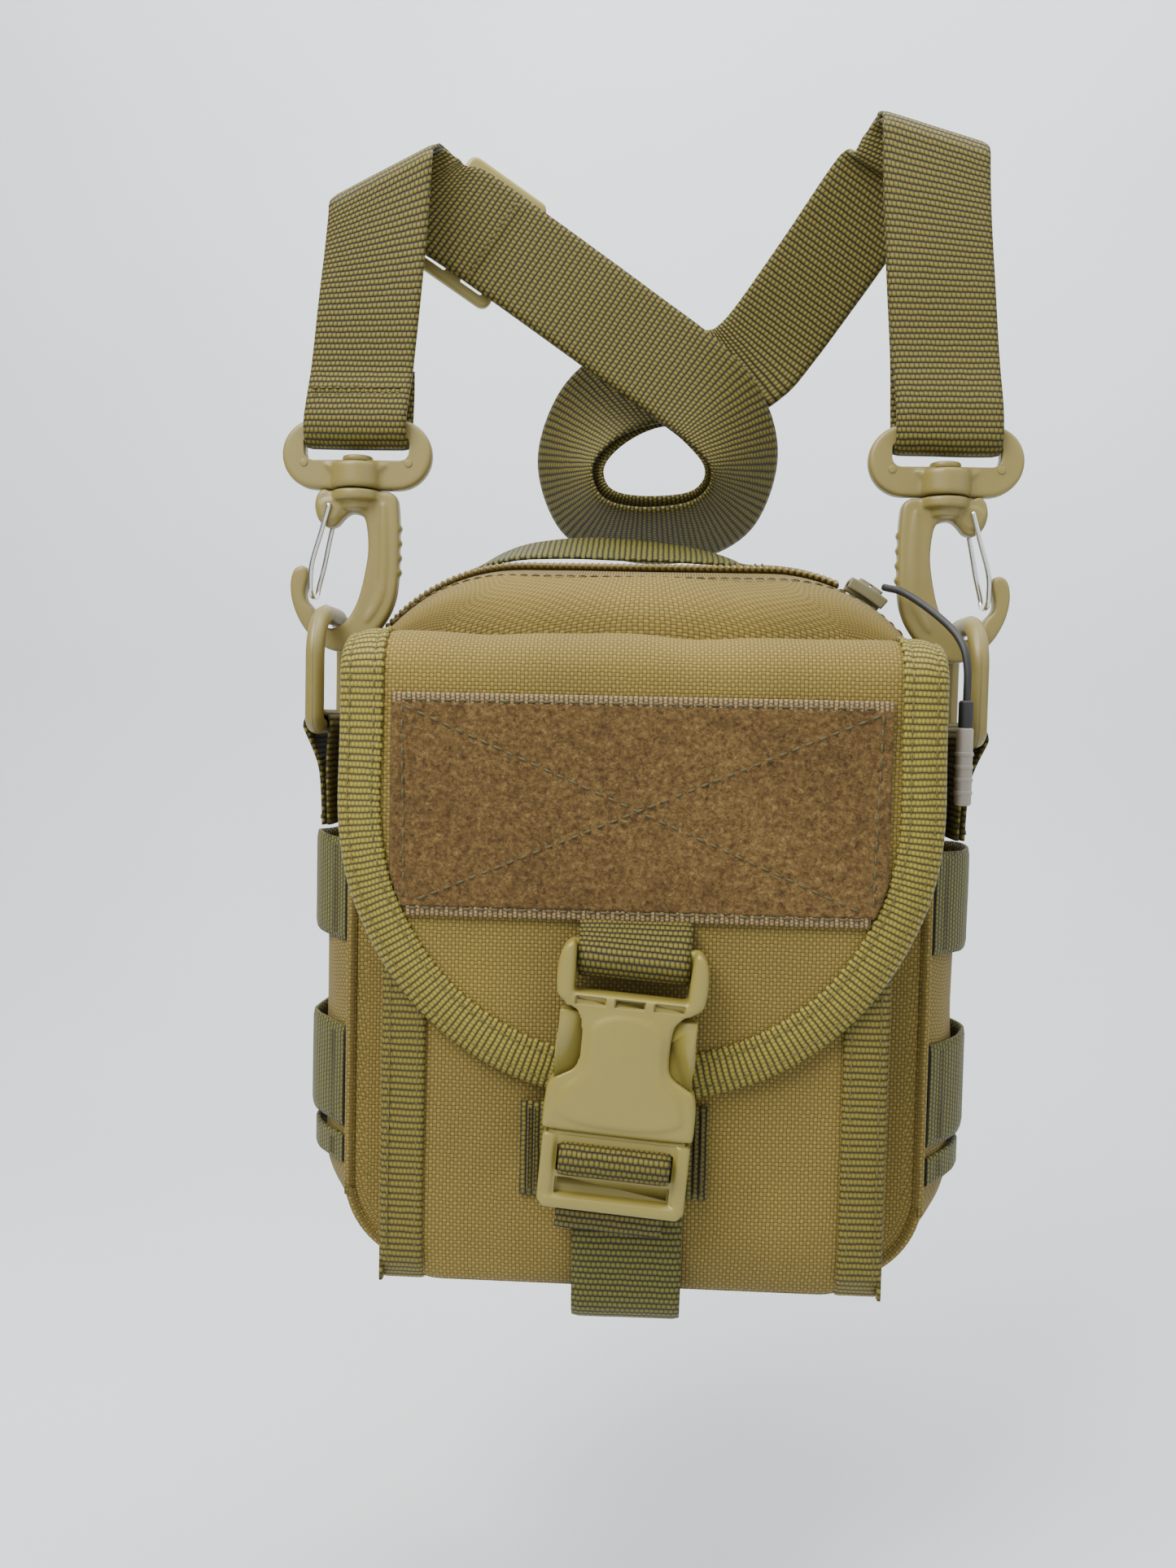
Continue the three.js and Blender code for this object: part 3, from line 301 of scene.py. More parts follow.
def chaikin(pts, it=2, q=0.25):
    for _ in range(it):
        out = []
        for i in range(len(pts)):
            a, b = pts[i], pts[(i + 1) % len(pts)]
            out.append(tuple(x + (y - x) * q for x, y in zip(a, b)))
            out.append(tuple(x + (y - x) * (1 - q) for x, y in zip(a, b)))
        pts = out
    return pts

def strip(name, st, thick, mat, edge=0.5, nx=16, wob=0.15, seed=0.0, step=1.0, v0=0.0, cup=0.0):
    """webbing swept through stations (centre, half-width vector), UV in mm"""
    ctrl = [(*p, *w) for p, w in st]
    L = sum(math.dist(ctrl[i][:3], ctrl[i + 1][:3]) for i in range(len(ctrl) - 1))
    n = max(4, int(L / step))
    sm = cat(ctrl, n)
    P = [V(s[:3]) for s in sm]; W = [V(s[3:6]) for s in sm]
    prof = []
    h = thick / 2
    for i in range(nx + 1): prof.append((-1 + 2 * i / nx, h if 0 < i < nx else h * 0.55))
    for i in range(nx + 1): prof.append((1 - 2 * i / nx, -h if 0 < i < nx else -h * 0.55))
    verts, uvs, faces = [], [], []
    d = v0
    np_ = len(prof)
    for i, (p, w) in enumerate(zip(P, W)):
        if i: d += (p - P[i - 1]).length
        t = (P[min(n, i + 1)] - P[max(0, i - 1)]).normalized()
        nn = t.cross(w).normalized()
        hw = w.length
        for a, b in prof:
            q = p + w * (a * (1 - (0.006 if abs(b) > h * 0.9 and abs(a) == 1 else 0))) + nn * (b + cup * (a * a - 0.4))
            z = noise.noise(V((q.x * 0.06, q.z * 0.06 + seed, q.y * 0.05)))
            q = q + nn * (z * wob)
            verts.append(q); uvs.append(((a + 1) * hw, d))
    for i in range(n):
        for k in range(np_):
            a = i * np_ + k; b = i * np_ + (k + 1) % np_
            faces.append((a, b, b + np_, a + np_))
    faces.append(tuple(range(np_ - 1, -1, -1))); faces.append(tuple(n * np_ + k for k in range(np_)))
    o = mesh_obj(name, verts, faces, mat, uvs)
    fix_normals(o)
    return o

def tube(name, pts, r, mat, sides=10, closed=False, step=0.8, squash_=1.0, r_end=None):
    if not closed:
        L = sum(math.dist(pts[i], pts[i + 1]) for i in range(len(pts) - 1))
        P = [V(p) for p in cat(pts, max(4, int(L / step)))]
    else:
        P = [V(p) for p in pts]
    n = len(P)
    verts, uvs, faces = [], [], []
    up = V((0, 0, 1)); prev = None; d = 0
    for i in range(n):
        a = P[(i - 1) % n] if closed else P[max(0, i - 1)]
        b = P[(i + 1) % n] if closed else P[min(n - 1, i + 1)]
        t = (b - a).normalized()
        if prev is None:
            x = t.cross(up)
            if x.length < 0.2: x = t.cross(V((1, 0, 0)))
            x.normalize()
        else:
            x = (prev - t * prev.dot(t)).normalized()
        prev = x; y = t.cross(x)
        if i: d += (P[i] - P[i - 1]).length
        rr = r if r_end is None else r + (r_end - r) * i / (n - 1)
        for k in range(sides):
            u = 2 * math.pi * k / sides
            verts.append(P[i] + x * (rr * math.cos(u)) + y * (rr * squash_ * math.sin(u)))
            uvs.append((k / sides * 2 * math.pi * r, d))
    m_ = n if closed else n - 1
    for i in range(m_):
        for k in range(sides):
            a = i * sides + k; b = i * sides + (k + 1) % sides
            c = ((i + 1) % n) * sides + k; e = ((i + 1) % n) * sides + (k + 1) % sides
            faces.append((a, b, e, c))
    if not closed:
        faces.append(tuple(range(sides - 1, -1, -1))); faces.append(tuple((n - 1) * sides + k for k in range(sides)))
    o = mesh_obj(name, verts, faces, mat, uvs)
    fix_normals(o)
    return o

def join(name, objs):
    objs = [o for o in objs if o]
    bm = bmesh.new(); mats = []
    for o in objs:
        off = len(mats)
        remap = []
        for m_ in o.data.materials:
            if m_ not in mats: mats.append(m_)
            remap.append(mats.index(m_))
        tmp = o.data.copy()
        for p in tmp.polygons: p.material_index = remap[p.material_index] if remap else 0
        bm.from_mesh(tmp); bpy.data.meshes.remove(tmp)
    me = bpy.data.meshes.new(name)
    bm.to_mesh(me); bm.free()
    for m_ in mats: me.materials.append(m_)
    for o in objs: bpy.data.objects.remove(o)
    out = bpy.data.objects.new(name, me); scene.collection.objects.link(out)
    return out

def stitches(name, pts, mat, pitch=2.9, length=2.1, r=0.24, normals=None, lift=0.08):
    """a row of thread stitches laid along points (x, y, z), each a small bent capsule"""
    P = [V(p) for p in pts]
    N = [V(n_) for n_ in normals] if normals else None
    cum = [0.0]
    for i in range(1, len(P)): cum.append(cum[-1] + (P[i] - P[i - 1]).length)
    tot = cum[-1]
    def at(d):
        d = max(0, min(tot, d)); i = 0
        lo, hi = 0, len(cum) - 1
        while hi - lo > 1:
            mid = (lo + hi) // 2
            if cum[mid] <= d: lo = mid
            else: hi = mid
        f = (d - cum[lo]) / ((cum[hi] - cum[lo]) or 1)
        p = P[lo].lerp(P[hi], f)
        nn = (N[lo].lerp(N[hi], f) if N else V((0, -1, 0))).normalized()
        return p, nn
    verts, faces, uvs = [], [], []
    k = int(tot / pitch)
    for j in range(k):
        c = (j + 0.5) * pitch
        ring0 = len(verts)
        secs = 4; sd = 5
        for i in range(secs + 1):
            f = i / secs
            p, nn = at(c + (f - 0.5) * length)
            q, _ = at(c + (f - 0.5) * length + 0.3)
            t = (q - p).normalized() if (q - p).length > 1e-6 else V((1, 0, 0))
            y = t.cross(nn).normalized()
            bow = math.sin(math.pi * f)
            rr = r * (0.45 + 0.55 * bow)
            ctr = p + nn * (lift + r * 0.9 * bow - 0.15)
            for s_ in range(sd):
                a = 2 * math.pi * s_ / sd
                verts.append(ctr + y * (rr * math.cos(a)) + nn * (rr * math.sin(a))); uvs.append((s_ * 0.3, i * 0.5))
        for i in range(secs):
            for s_ in range(sd):
                a = ring0 + i * sd + s_; b = ring0 + i * sd + (s_ + 1) % sd
                faces.append((a, b, b + sd, a + sd))
        faces.append(tuple(ring0 + s_ for s_ in range(sd - 1, -1, -1))); faces.append(tuple(ring0 + secs * sd + s_ for s_ in range(sd)))
    o = mesh_obj(name, verts, faces, mat, uvs)
    fix_normals(o)
    return o

def inset(pts, d):
    """move a counter-clockwise or clockwise closed outline inwards by d"""
    n = len(pts)
    area = sum(pts[i][0] * pts[(i + 1) % n][1] - pts[(i + 1) % n][0] * pts[i][1] for i in range(n))
    s = 1 if area > 0 else -1
    out = []
    for i in range(n):
        a = V(pts[i - 1]); b = V(pts[i]); c = V(pts[(i + 1) % n])
        e1 = (b - a); e2 = (c - b)
        if e1.length < 1e-9 or e2.length < 1e-9: out.append(tuple(b)); continue
        e1.normalize(); e2.normalize()
        n1 = V((-e1.y, e1.x)) * s; n2 = V((-e2.y, e2.x)) * s
        m_ = (n1 + n2)
        if m_.length < 1e-6: out.append(tuple(b)); continue
        m_.normalize()
        k = 1 / max(0.5, m_.dot(n1))
        q = b + m_ * (d * k)
        out.append((q.x, q.y))
    return out

def plate(outline, lo, hi, r=0.6, plane="XZ", steps=3, mat=None, name="plate"):
    """solid plate of an outline with rounded edges of radius r; plane XZ extrudes along Y, YZ along X, XY along Z"""
    rows = []
    for i in range(steps + 1):
        a = math.pi / 2 * i / steps
        rows.append((r * (1 - math.sin(a)), lo + r * (1 - math.cos(a))))
    for i in range(steps + 1):
        a = math.pi / 2 * (1 - i / steps)
        rows.append((r * (1 - math.sin(a)), hi - r * (1 - math.cos(a))))
    n = len(outline)
    verts, faces = [], []
    for d, y in rows:
        for p in inset(outline, d):
            verts.append({"XZ": (p[0], y, p[1]), "YZ": (y, p[0], p[1]), "XY": (p[0], p[1], y)}[plane])
    for j in range(len(rows) - 1):
        for i in range(n):
            a = j * n + i; b = j * n + (i + 1) % n
            faces.append((a, b, b + n, a + n))
    faces.append(tuple(range(n - 1, -1, -1))); faces.append(tuple((len(rows) - 1) * n + i for i in range(n)))
    o = mesh_obj(name, verts, faces, mat)
    fix_normals(o)
    return o

def boolean(ob_, cutter, op="DIFFERENCE"):
    keep = ob_.data.copy()
    for how in ("EXACT", "SELF", "FAST"):
        m_ = ob_.modifiers.new("b", "BOOLEAN"); m_.operation = op; m_.object = cutter
        m_.solver = "FAST" if how == "FAST" else "EXACT"
        if how == "SELF": m_.use_self = True
        bake(ob_)
        if len(ob_.data.vertices) > 0.3 * len(keep.vertices): break
        ob_.data = keep.copy()
    bpy.data.objects.remove(cutter)
    return ob_

def melt(ob_, voxel=0.42, smooth=4, factor=0.5):
    """turn overlapping solids into one moulded body with soft edges"""
    m_ = ob_.modifiers.new("r", "REMESH"); m_.mode = "VOXEL"; m_.voxel_size = voxel * S; m_.use_smooth_shade = True
    m2 = ob_.modifiers.new("s", "SMOOTH"); m2.factor = factor; m2.iterations = smooth
    bake(ob_)
    return ob_

def block(x0, x1, y0, y1, z0, z1, r=0.4, plane="XZ"):
    if plane == "XZ": return plate(round_rect(x0, x1, z0, z1, r), y0, y1, r)
    if plane == "XY": return plate(round_rect(x0, x1, y0, y1, r), z0, z1, r, "XY")
    return plate(round_rect(y0, y1, z0, z1, r), x0, x1, r, "YZ")

def round_rect(x0, x1, z0, z1, r, n=3):
    return arc(x1 - r, z1 - r, r, 0, 90, n) + arc(x0 + r, z1 - r, r, 90, 180, n) + arc(x0 + r, z0 + r, r, 180, 270, n) + arc(x1 - r, z0 + r, r, 270, 360, n)

def cyl(x, y, z0, z1, r, n=40, bev=0.35, mat=None):
    return plate([(x + r * math.cos(2 * math.pi * i / n), y + r * math.sin(2 * math.pi * i / n)) for i in range(n)], z0, z1, bev, "XY", mat=mat)

def setmat(ob_, mat):
    ob_.data.materials.clear(); ob_.data.materials.append(mat)
    for p in ob_.data.polygons: p.material_index = 0
    return ob_

def move(ob_, mat4):
    ob_.data.transform(mat4); ob_.data.update(); return ob_

def shift(ob_, x, y, z):
    return move(ob_, Matrix.Translation((x * S, y * S, z * S)))

def mirrored(ob_):
    ob_.data.transform(Matrix.Scale(-1, 4, (1, 0, 0))); ob_.data.flip_normals(); return ob_

def final(ob_, name, body, slot, *nodes):
    ob_.name = name
    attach(ob_, body)
    if nodes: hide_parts(*nodes)
    return ob_

def loop_uv(ob_, fn):
    lay = ob_.data.uv_layers.active or ob_.data.uv_layers.new(name="UVMap")
    me = ob_.data
    for poly in me.polygons:
        for li in poly.loop_indices:
            lay.data[li].uv = fn(poly.index, me.loops[li].vertex_index)

def puff(ob_, pins, pressure=4.0, frames=16, tension=18.0, cap=3.0):
    """let a padded fabric skin settle under its filling: pinned at its seams, movement capped (mm)"""
    rest = [v.co.copy() for v in ob_.data.vertices]
    vg = ob_.vertex_groups.new(name="seams")
    for i, w in enumerate(pins):
        if w > 0: vg.add([i], w, "REPLACE")
    m_ = ob_.modifiers.new("cloth", "CLOTH")
    st = m_.settings
    st.quality = 6; st.mass = 0.25
    st.tension_stiffness = tension; st.compression_stiffness = tension; st.shear_stiffness = 8; st.bending_stiffness = 0.6
    st.use_pressure = True; st.uniform_pressure_force = pressure
    st.vertex_group_mass = "seams"; st.pin_stiffness = 1.0
    st.effector_weights.gravity = 0.0
    m_.collision_settings.use_collision = False
    m_.point_cache.frame_start = 1; m_.point_cache.frame_end = frames
    for f in range(1, frames + 1):
        scene.frame_set(f)
    dg = bpy.context.evaluated_depsgraph_get()
    ev = ob_.evaluated_get(dg)
    co = [v.co.copy() for v in ev.data.vertices]
    ob_.modifiers.clear(); ob_.vertex_groups.clear()
    for v, a, b in zip(ob_.data.vertices, rest, co):
        d = b - a
        if d.length > cap * S: d = d * (cap * S / d.length)
        v.co = a + d
    ob_.data.update()
    scene.frame_set(1)
    return ob_

# ------------------------------------------------------------------ camera, light, stage
cam_d = bpy.data.cameras.new("camera"); cam = bpy.data.objects.new("camera", cam_d); scene.collection.objects.link(cam)
yaw, pitch, roll = rad(-2.89), rad(2.87), rad(1.23)
fwd = V((math.sin(yaw) * math.cos(pitch), math.cos(yaw) * math.cos(pitch), -math.sin(pitch)))
rt = V((math.cos(yaw), -math.sin(yaw), 0)); up = rt.cross(fwd)
r2 = rt * math.cos(roll) + up * math.sin(roll); u2 = up * math.cos(roll) - rt * math.sin(roll)
mw = Matrix(((r2.x, u2.x, -fwd.x, 0.0033), (r2.y, u2.y, -fwd.y, -0.3634), (r2.z, u2.z, -fwd.z, 0.0404), (0, 0, 0, 1)))
cam.matrix_world = mw
cam_d.sensor_width = 36; cam_d.lens = 1600 / 1927 * 36
cam_d.clip_start = 0.01; cam_d.clip_end = 20
scene.camera = cam

g = NT("pale_wall"); nz = g.noise(g.obj(), 3.0, 3.0)
wall_mat = g.done(g.ramp(nz, [(0.3, (0.60, 0.63, 0.655)), (0.7, (0.655, 0.685, 0.705))]), 0.85)
def plane(name, pts):
    o = mesh_obj(name, pts, [(0, 1, 2, 3)], wall_mat); return o
W_ = 2200
sweep_v, sweep_f = [], []
prof = [(-1800, -190)] + [(-1800 + i * 200, -190) for i in range(1, 10)] + [(300 + 260 * math.sin(rad(a)), 70 - 260 * math.cos(rad(a))) for a in range(0, 91, 10)] + [(560, 1800)]
for (yy, zz) in prof: sweep_v += [(-W_, yy, zz), (W_, yy, zz)]
for i in range(len(prof) - 1): sweep_f.append((2 * i, 2 * i + 1, 2 * i + 3, 2 * i + 2))
bd = mesh_obj("studio_floor", sweep_v, sweep_f, wall_mat)

def light(name, loc, target, size, power, color=(1, 1, 1), sy=None):
    d = bpy.data.lights.new(name, "AREA"); d.shape = "RECTANGLE"; d.size = size; d.size_y = sy or size; d.energy = power; d.color = color
    o = bpy.data.objects.new(name, d); scene.collection.objects.link(o)
    o.location = [c * S for c in loc]
    dv = (V([c * S for c in target]) - V([c * S for c in loc]))
    o.rotation_mode = "QUATERNION"; o.rotation_quaternion = dv.to_track_quat("-Z", "Y")
    return o
light("key_soft", (-520, -640, 820), (0, -40, 20), 0.62, 19.5, (1.0, 0.985, 0.955))
light("fill_soft", (760, -560, 220), (0, -30, 20), 0.9, 3.6, (0.93, 0.965, 1.0))
light("front_soft", (-60, -900, 60), (0, 0, 20), 0.7, 1.9, (1.0, 0.99, 0.97))
light("top_soft", (60, -60, 950), (0, 0, 0), 0.8, 9.5, (1.0, 0.99, 0.97))
light("back_soft", (100, 330, 520), (0, 560, 100), 1.2, 7.5, (0.97, 0.985, 1.0))
world = bpy.data.worlds.new("studio"); scene.world = world; world.use_nodes = True
world.node_tree.nodes["Background"].inputs[0].default_value = (0.80, 0.86, 0.92, 1)
world.node_tree.nodes["Background"].inputs[1].default_value = 0.15

# ------------------------------------------------------------------ main compartment
def interp(tab, x):
    if x <= tab[0][0]: return tab[0][1:]
    for a, b in zip(tab, tab[1:]):
        if x <= b[0]:
            t = (x - a[0]) / (b[0] - a[0]); t = t * t * (3 - 2 * t) * 0.35 + t * 0.65
            return [p + (q - p) * t for p, q in zip(a[1:], b[1:])]
    return tab[-1][1:]
# depth -> half width, top, bottom, top radius, bottom radius
SECT = [(-50.4, 68.2, 62.5, -92.6, 20.0, 19.0), (-49.9, 68.8, 65.6, -93.0, 24.0, 19.6), (-48.7, 69.7, 68.6, -93.6, 28.5, 20.4), (-47, 70.8, 70.9, -94.2, 32.5, 21.5), (-42, 73.4, 74.6, -95.4, 40.0, 23.5), (-36, 75.4, 77.4, -96, 44.0, 25.0), (-29, 76.6, 79.0, -96, 46.0, 25.0),
        (-20, 76.6, 79.9, -96, 46.0, 25.0), (-8, 76.4, 79.6, -96, 46.0, 25.0), (-3, 76.0, 79.0, -95.6, 45.6, 24.6), (0, 74.8, 77.8, -94.4, 44.6, 23.6)]
NSEG = 30
def ring_pts(w, top, bot, rtp, rb, n_side=16, n_top=24, n_arc=18):
    out = []
    out += [(w - rtp + rtp * math.cos(rad(a)), top - rtp + rtp * math.sin(rad(a))) for a in [90 * i / n_arc for i in range(n_arc)]]
    out += [((w - rtp) * (1 - 2 * i / n_top), top) for i in range(n_top)]
    out += [(-(w - rtp) + rtp * math.cos(rad(a)), top - rtp + rtp * math.sin(rad(a))) for a in [90 + 90 * i / n_arc for i in range(n_arc)]]
    zt, zb = top - rtp, bot + rb
    out += [(-w, zt + (zb - zt) * i / n_side) for i in range(n_side)]
    out += [(-(w - rb) + rb * math.cos(rad(a)), bot + rb + rb * math.sin(rad(a))) for a in [180 + 90 * i / n_arc for i in range(n_arc)]]
    out += [(-(w - rb) + 2 * (w - rb) * i / n_top, bot) for i in range(n_top)]
    out += [((w - rb) + rb * math.cos(rad(a)), bot + rb + rb * math.sin(rad(a))) for a in [270 + 90 * i / n_arc for i in range(n_arc)]]
    out += [(w, zb + (zt - zb) * i / n_side) for i in range(n_side)]
    return out
def arch_factor(z): return max(0.0, min(1.0, (z - 34) / 12.0))
def zip_groove(y, z):
    """how far the fabric dips for the zip tapes, mm"""
    d = abs(y + 29.1)
    k = 1.0 if d < 8.2 else max(0.0, 1 - (d - 8.2) / 1.5)
    lip = 0.25 * math.exp(-((d - 10.6) / 1.3) ** 2)
    return arch_factor(z) * (1.5 * k - lip)
ys = [-50.4, -50.15, -49.9, -49.3, -48.7, -48.0, -46.8, -45, -43, -41, -39.6, -38.4, -37.2, -35, -32, -29, -26, -23, -21.2, -20.0, -18.8, -17, -14.5, -12, -9.5, -7, -4.5, -2.6, -1.3, -0.5, 0.0]
def skin_ring(y, d=0.0):
    w, top, bot, rtp, rb = interp(SECT, y)
    return ring_pts(w - d, top - d, bot + d, max(2, rtp - d), max(2, rb - d))
verts, faces, kind, svals = [], [], [], []
base = skin_ring(-29)
cumS = [0.0]
for i in range(1, len(base) + 1):
    cumS.append(cumS[-1] + math.dist(base[i - 1], base[i % len(base)]))
N0 = len(base)
def side_swell(y, z):
    a = max(0.0, min(1.0, (10 - z) / 16)); b = max(0.0, min(1.0, (z + 92) / 22))
    a = a * a * (3 - 2 * a); b = b * b * (3 - 2 * b)
    u = max(0.0, min(1.0, -y / 50.0))
    return 4.2 * a * b * math.sin(math.pi * u) ** 0.8
def add_ring(pts, y, groove=True):
    for i, (x, z) in enumerate(pts):
        a, b = V(pts[i - 1]), V(pts[(i + 1) % N0])
        nn = V((b.y - a.y, -(b.x - a.x))); nn = nn.normalized() if nn.length else V((0, 1))
        g_ = zip_groove(y, z) if groove else 0
        soft = noise.noise(V((x * 0.035, y * 0.05 + 3.1, z * 0.035))) * 0.9 + noise.noise(V((x * 0.09, y * 0.11, z * 0.09 + 5))) * 0.35
        fade = min(1, max(0, (y + 50) / 6)) * min(1, max(0, -y / 5))
        o = -g_ + soft * fade * 0.8 + (side_swell(y, z) * abs(nn.x) ** 2 if groove else 0)
        verts.append((x + nn.x * o, y, z + nn.y * o)); svals.append(cumS[i])
caps_front = [46, 34, 22, 12, 6, 2.5]
for d in caps_front:
    p = skin_ring(-50.4, d)
    add_ring(p, -50.6, False)
for y in ys: add_ring(skin_ring(y), y)
caps_back = [2, 5, 11, 20, 32, 45]
for d in caps_back: add_ring(skin_ring(0, d), 0.0, False)
nr = len(caps_front) + len(ys) + len(caps_back)
for j in range(nr - 1):
    for i in range(N0):
        a = j * N0 + i; b = j * N0 + (i + 1) % N0
        faces.append((a, b, b + N0, a + N0)); kind.append(0 if len(caps_front) - 1 <= j < len(caps_front) + len(ys) - 1 else 1)
cf = len(verts); verts.append((0, -50.6, -8)); svals.append(0.0)
cb = len(verts); verts.append((0, 0.0, -8)); svals.append(0.0)
for i in range(N0):
    faces.append((i, cf, (i + 1) % N0)); kind.append(1)
    faces.append(((nr - 1) * N0 + i, (nr - 1) * N0 + (i + 1) % N0, cb)); kind.append(1)
shell = mesh_obj("body_shell", verts, faces, M["body"])
fix_normals(shell)
vco = [tuple(c / S for c in v.co) for v in shell.data.vertices]
pins = []
for (x, y, z) in vco:
    seam = y > -1.0 or y < -49.0 or (z > 36 and -39.8 < y < -18.5)
    pins.append(1.0 if seam else 0.0)
vlen = [0.0] * len(vco)
for vi in range(N0, len(vco)): vlen[vi] = vlen[vi - N0] + math.dist(vco[vi], vco[vi - N0])
def shell_uv(fi, vi):
    x, y, z = vco[vi]
    if kind[fi] == 1: return (x + 200, z + 200)
    return (svals[vi], vlen[vi] + 100)
loop_uv(shell, shell_uv)
# the strip that closes the loop must not wrap its texture back to zero
lay = shell.data.uv_layers.active
for poly in shell.data.polygons:
    if kind[poly.index] == 0:
        us = [lay.data[li].uv[0] for li in poly.loop_indices]
        if max(us) - min(us) > 100:
            for li in poly.loop_indices:
                if lay.data[li].uv[0] < 100: lay.data[li].uv = (lay.data[li].uv[0] + cumS[-1], lay.data[li].uv[1])
puff(shell, pins, 5.0, 14, cap=2.2)
subsurf(shell)
final(shell, "body_shell", "bag", "body_fabric", "back_panel", "side_gusset", "top_gusset_rear", "top_gusset_front", "front_wall")
edge_pts = skin_ring(-1.0)
bead = tube("back_bead", [(p[0], -1.1, p[1]) for p in edge_pts[::2]], 1.05, M["gusset"], 10, closed=True)
lines_ = [(p[0], 0.02, p[1]) for p in skin_ring(0.0, 3.2)]
bead = join("back_edge_seam", [bead, stitches("s", lines_ + lines_[:1], M["thread_dark"], normals=[(0, 1, 0)] * (len(lines_) + 1))])
final(bead, "back_edge_seam", "bag", "body_fabric")
foam_pts = [(p[0], p[1]) for p in skin_ring(-20, 5.5)]
foam = plate(foam_pts, -6.9, -2.2, 1.2, mat=M["foam"], name="back_foam_pad"); final(foam, "back_foam_pad", "bag", "foam", "back_foam")
lin = plate(foam_pts, -8.2, -7.3, 0.4, mat=M["lining"], name="back_lining_cloth")
loop_uv(lin, lambda fi, vi: (lin.data.vertices[vi].co.x / S, lin.data.vertices[vi].co.z / S))
final(lin, "back_lining_cloth", "bag", "lining", "back_lining")

def arch_path(off, y, a_right=0.0, z_left=41.0, z_right=41.0, n=60, stop=None, dy=None):
    """points along the zipped arch from the left end over the top to the right, off = outwards"""
    w, top, bot, rtp, rb = interp(SECT, y)
    pts = []
    pts.append((-(w + off), z_left))
    zt = top - rtp
    if z_left < zt: pts.append((-(w + off), zt))
    r = rtp + off
    pts += [(-(w - rtp) + r * math.cos(rad(a)), top - rtp + r * math.sin(rad(a))) for a in [180 - 90 * i / 14 for i in range(1, 14)]]
    pts += [(-(w - rtp) + 2 * (w - rtp) * i / 10, top + off) for i in range(11)]
    last = 0 if stop is None else stop
    pts += [((w - rtp) + r * math.cos(rad(a)), top - rtp + r * math.sin(rad(a))) for a in [90 - (90 - last) * i / 14 for i in range(1, 15)]]
    if stop is None: pts.append((w + off, z_right))
    return [(p[0], y, p[1]) for p in pts if True]
def arch_strip(name, ya, yb, offa, offb, mat, thick=0.8, **kw):
    A = arch_path(offa, ya, **kw); B = arch_path(offb, yb, **kw)
    st = [(tuple((p + q) / 2 for p, q in zip(a, b)), tuple((q - p) / 2 for p, q in zip(a, b))) for a, b in zip(A, B)]
    return strip(name, st, thick, mat, nx=8, wob=0.1, step=1.4)
t1 = arch_strip("zip_tape_rear", -26.6, -19.6, -0.9, -1.3, M["tape"], z_left=41.5, z_right=41.5)
final(t1, "zip_tape_rear", "bag", "lining", "zipper_tape_rear")
t2 = arch_strip("zip_tape_front", -38.6, -31.6, -1.3, -0.9, M["tape"], z_left=41.5, z_right=41.5)
final(t2, "zip_tape_front", "bag", "lining", "zipper_tape_front")
# coil: two rows of slanted nylon turns that mesh in the middle
cp = cat(arch_path(-0.05, -29.1, z_left=42.0, stop=66.0), 400)
cum = [0]
for i in range(1, len(cp)): cum.append(cum[-1] + math.dist(cp[i], cp[i - 1]))
verts, faces = [], []
pitch_ = 1.62; j = 0; d = 0.8
while d < cum[-1] - 0.5:
    while cum[j + 1] < d: j += 1
    p = V(cp[j]).lerp(V(cp[j + 1]), (d - cum[j]) / (cum[j + 1] - cum[j]))
    t = (V(cp[j + 1]) - V(cp[j])).normalized(); yv = V((0, 1, 0)); nn = yv.cross(t).normalized()
    if nn.dot(p - V((0, -29, 10))) < 0: nn = -nn
    for sgn in (-1, 1):
        c = p + t * (0.4 * sgn) + yv * (sgn * 1.1)
        ax = (yv * 1.0 + t * (0.42 * sgn)).normalized(); bx = ax.cross(nn).normalized()
        o = len(verts); RA, RB, RC = 1.7, 0.68, 1.05
        for la in range(5):
            ph = math.pi * la / 4
            for k in range(8):
                th = 2 * math.pi * k / 8
                verts.append(c + ax * (RA * math.cos(ph)) + bx * (RB * math.sin(ph) * math.cos(th)) + nn * (RC * math.sin(ph) * math.sin(th) + 0.15))
        for la in range(4):
            for k in range(8):
                a = o + la * 8 + k; b = o + la * 8 + (k + 1) % 8
                faces.append((a, b, b + 8, a + 8))
    d += pitch_
coil = mesh_obj("zip_coil_teeth", verts, faces, M["coil"]); fix_normals(coil)
core = tube("core", cp[::6], 0.9, M["coil"], 8)
coil = join("zip_coil_teeth", [coil, core]); final(coil, "zip_coil_teeth", "bag", "zipper_coil", "zipper_coil")
# stitch rows beside the tapes
rows = []
for yy in (-40.6, -17.8):
    pts = cat(arch_path(0.35, yy, z_left=44, z_right=44), 160)
    nrm = []
    for i in range(len(pts)):
        a, b = pts[max(0, i - 1)], pts[min(len(pts) - 1, i + 1)]
        t = V(b) - V(a); nn = V((-t.z, 0, t.x)).normalized()
        if nn.dot(V(pts[i]) - V((0, yy, 10))) < 0: nn = -nn
        nrm.append(nn)
    rows.append(stitches("s", pts, M["thread_dark"], normals=nrm))
zs = join("zip_stitching", rows); final(zs, "zip_stitching", "bag", "body_fabric")

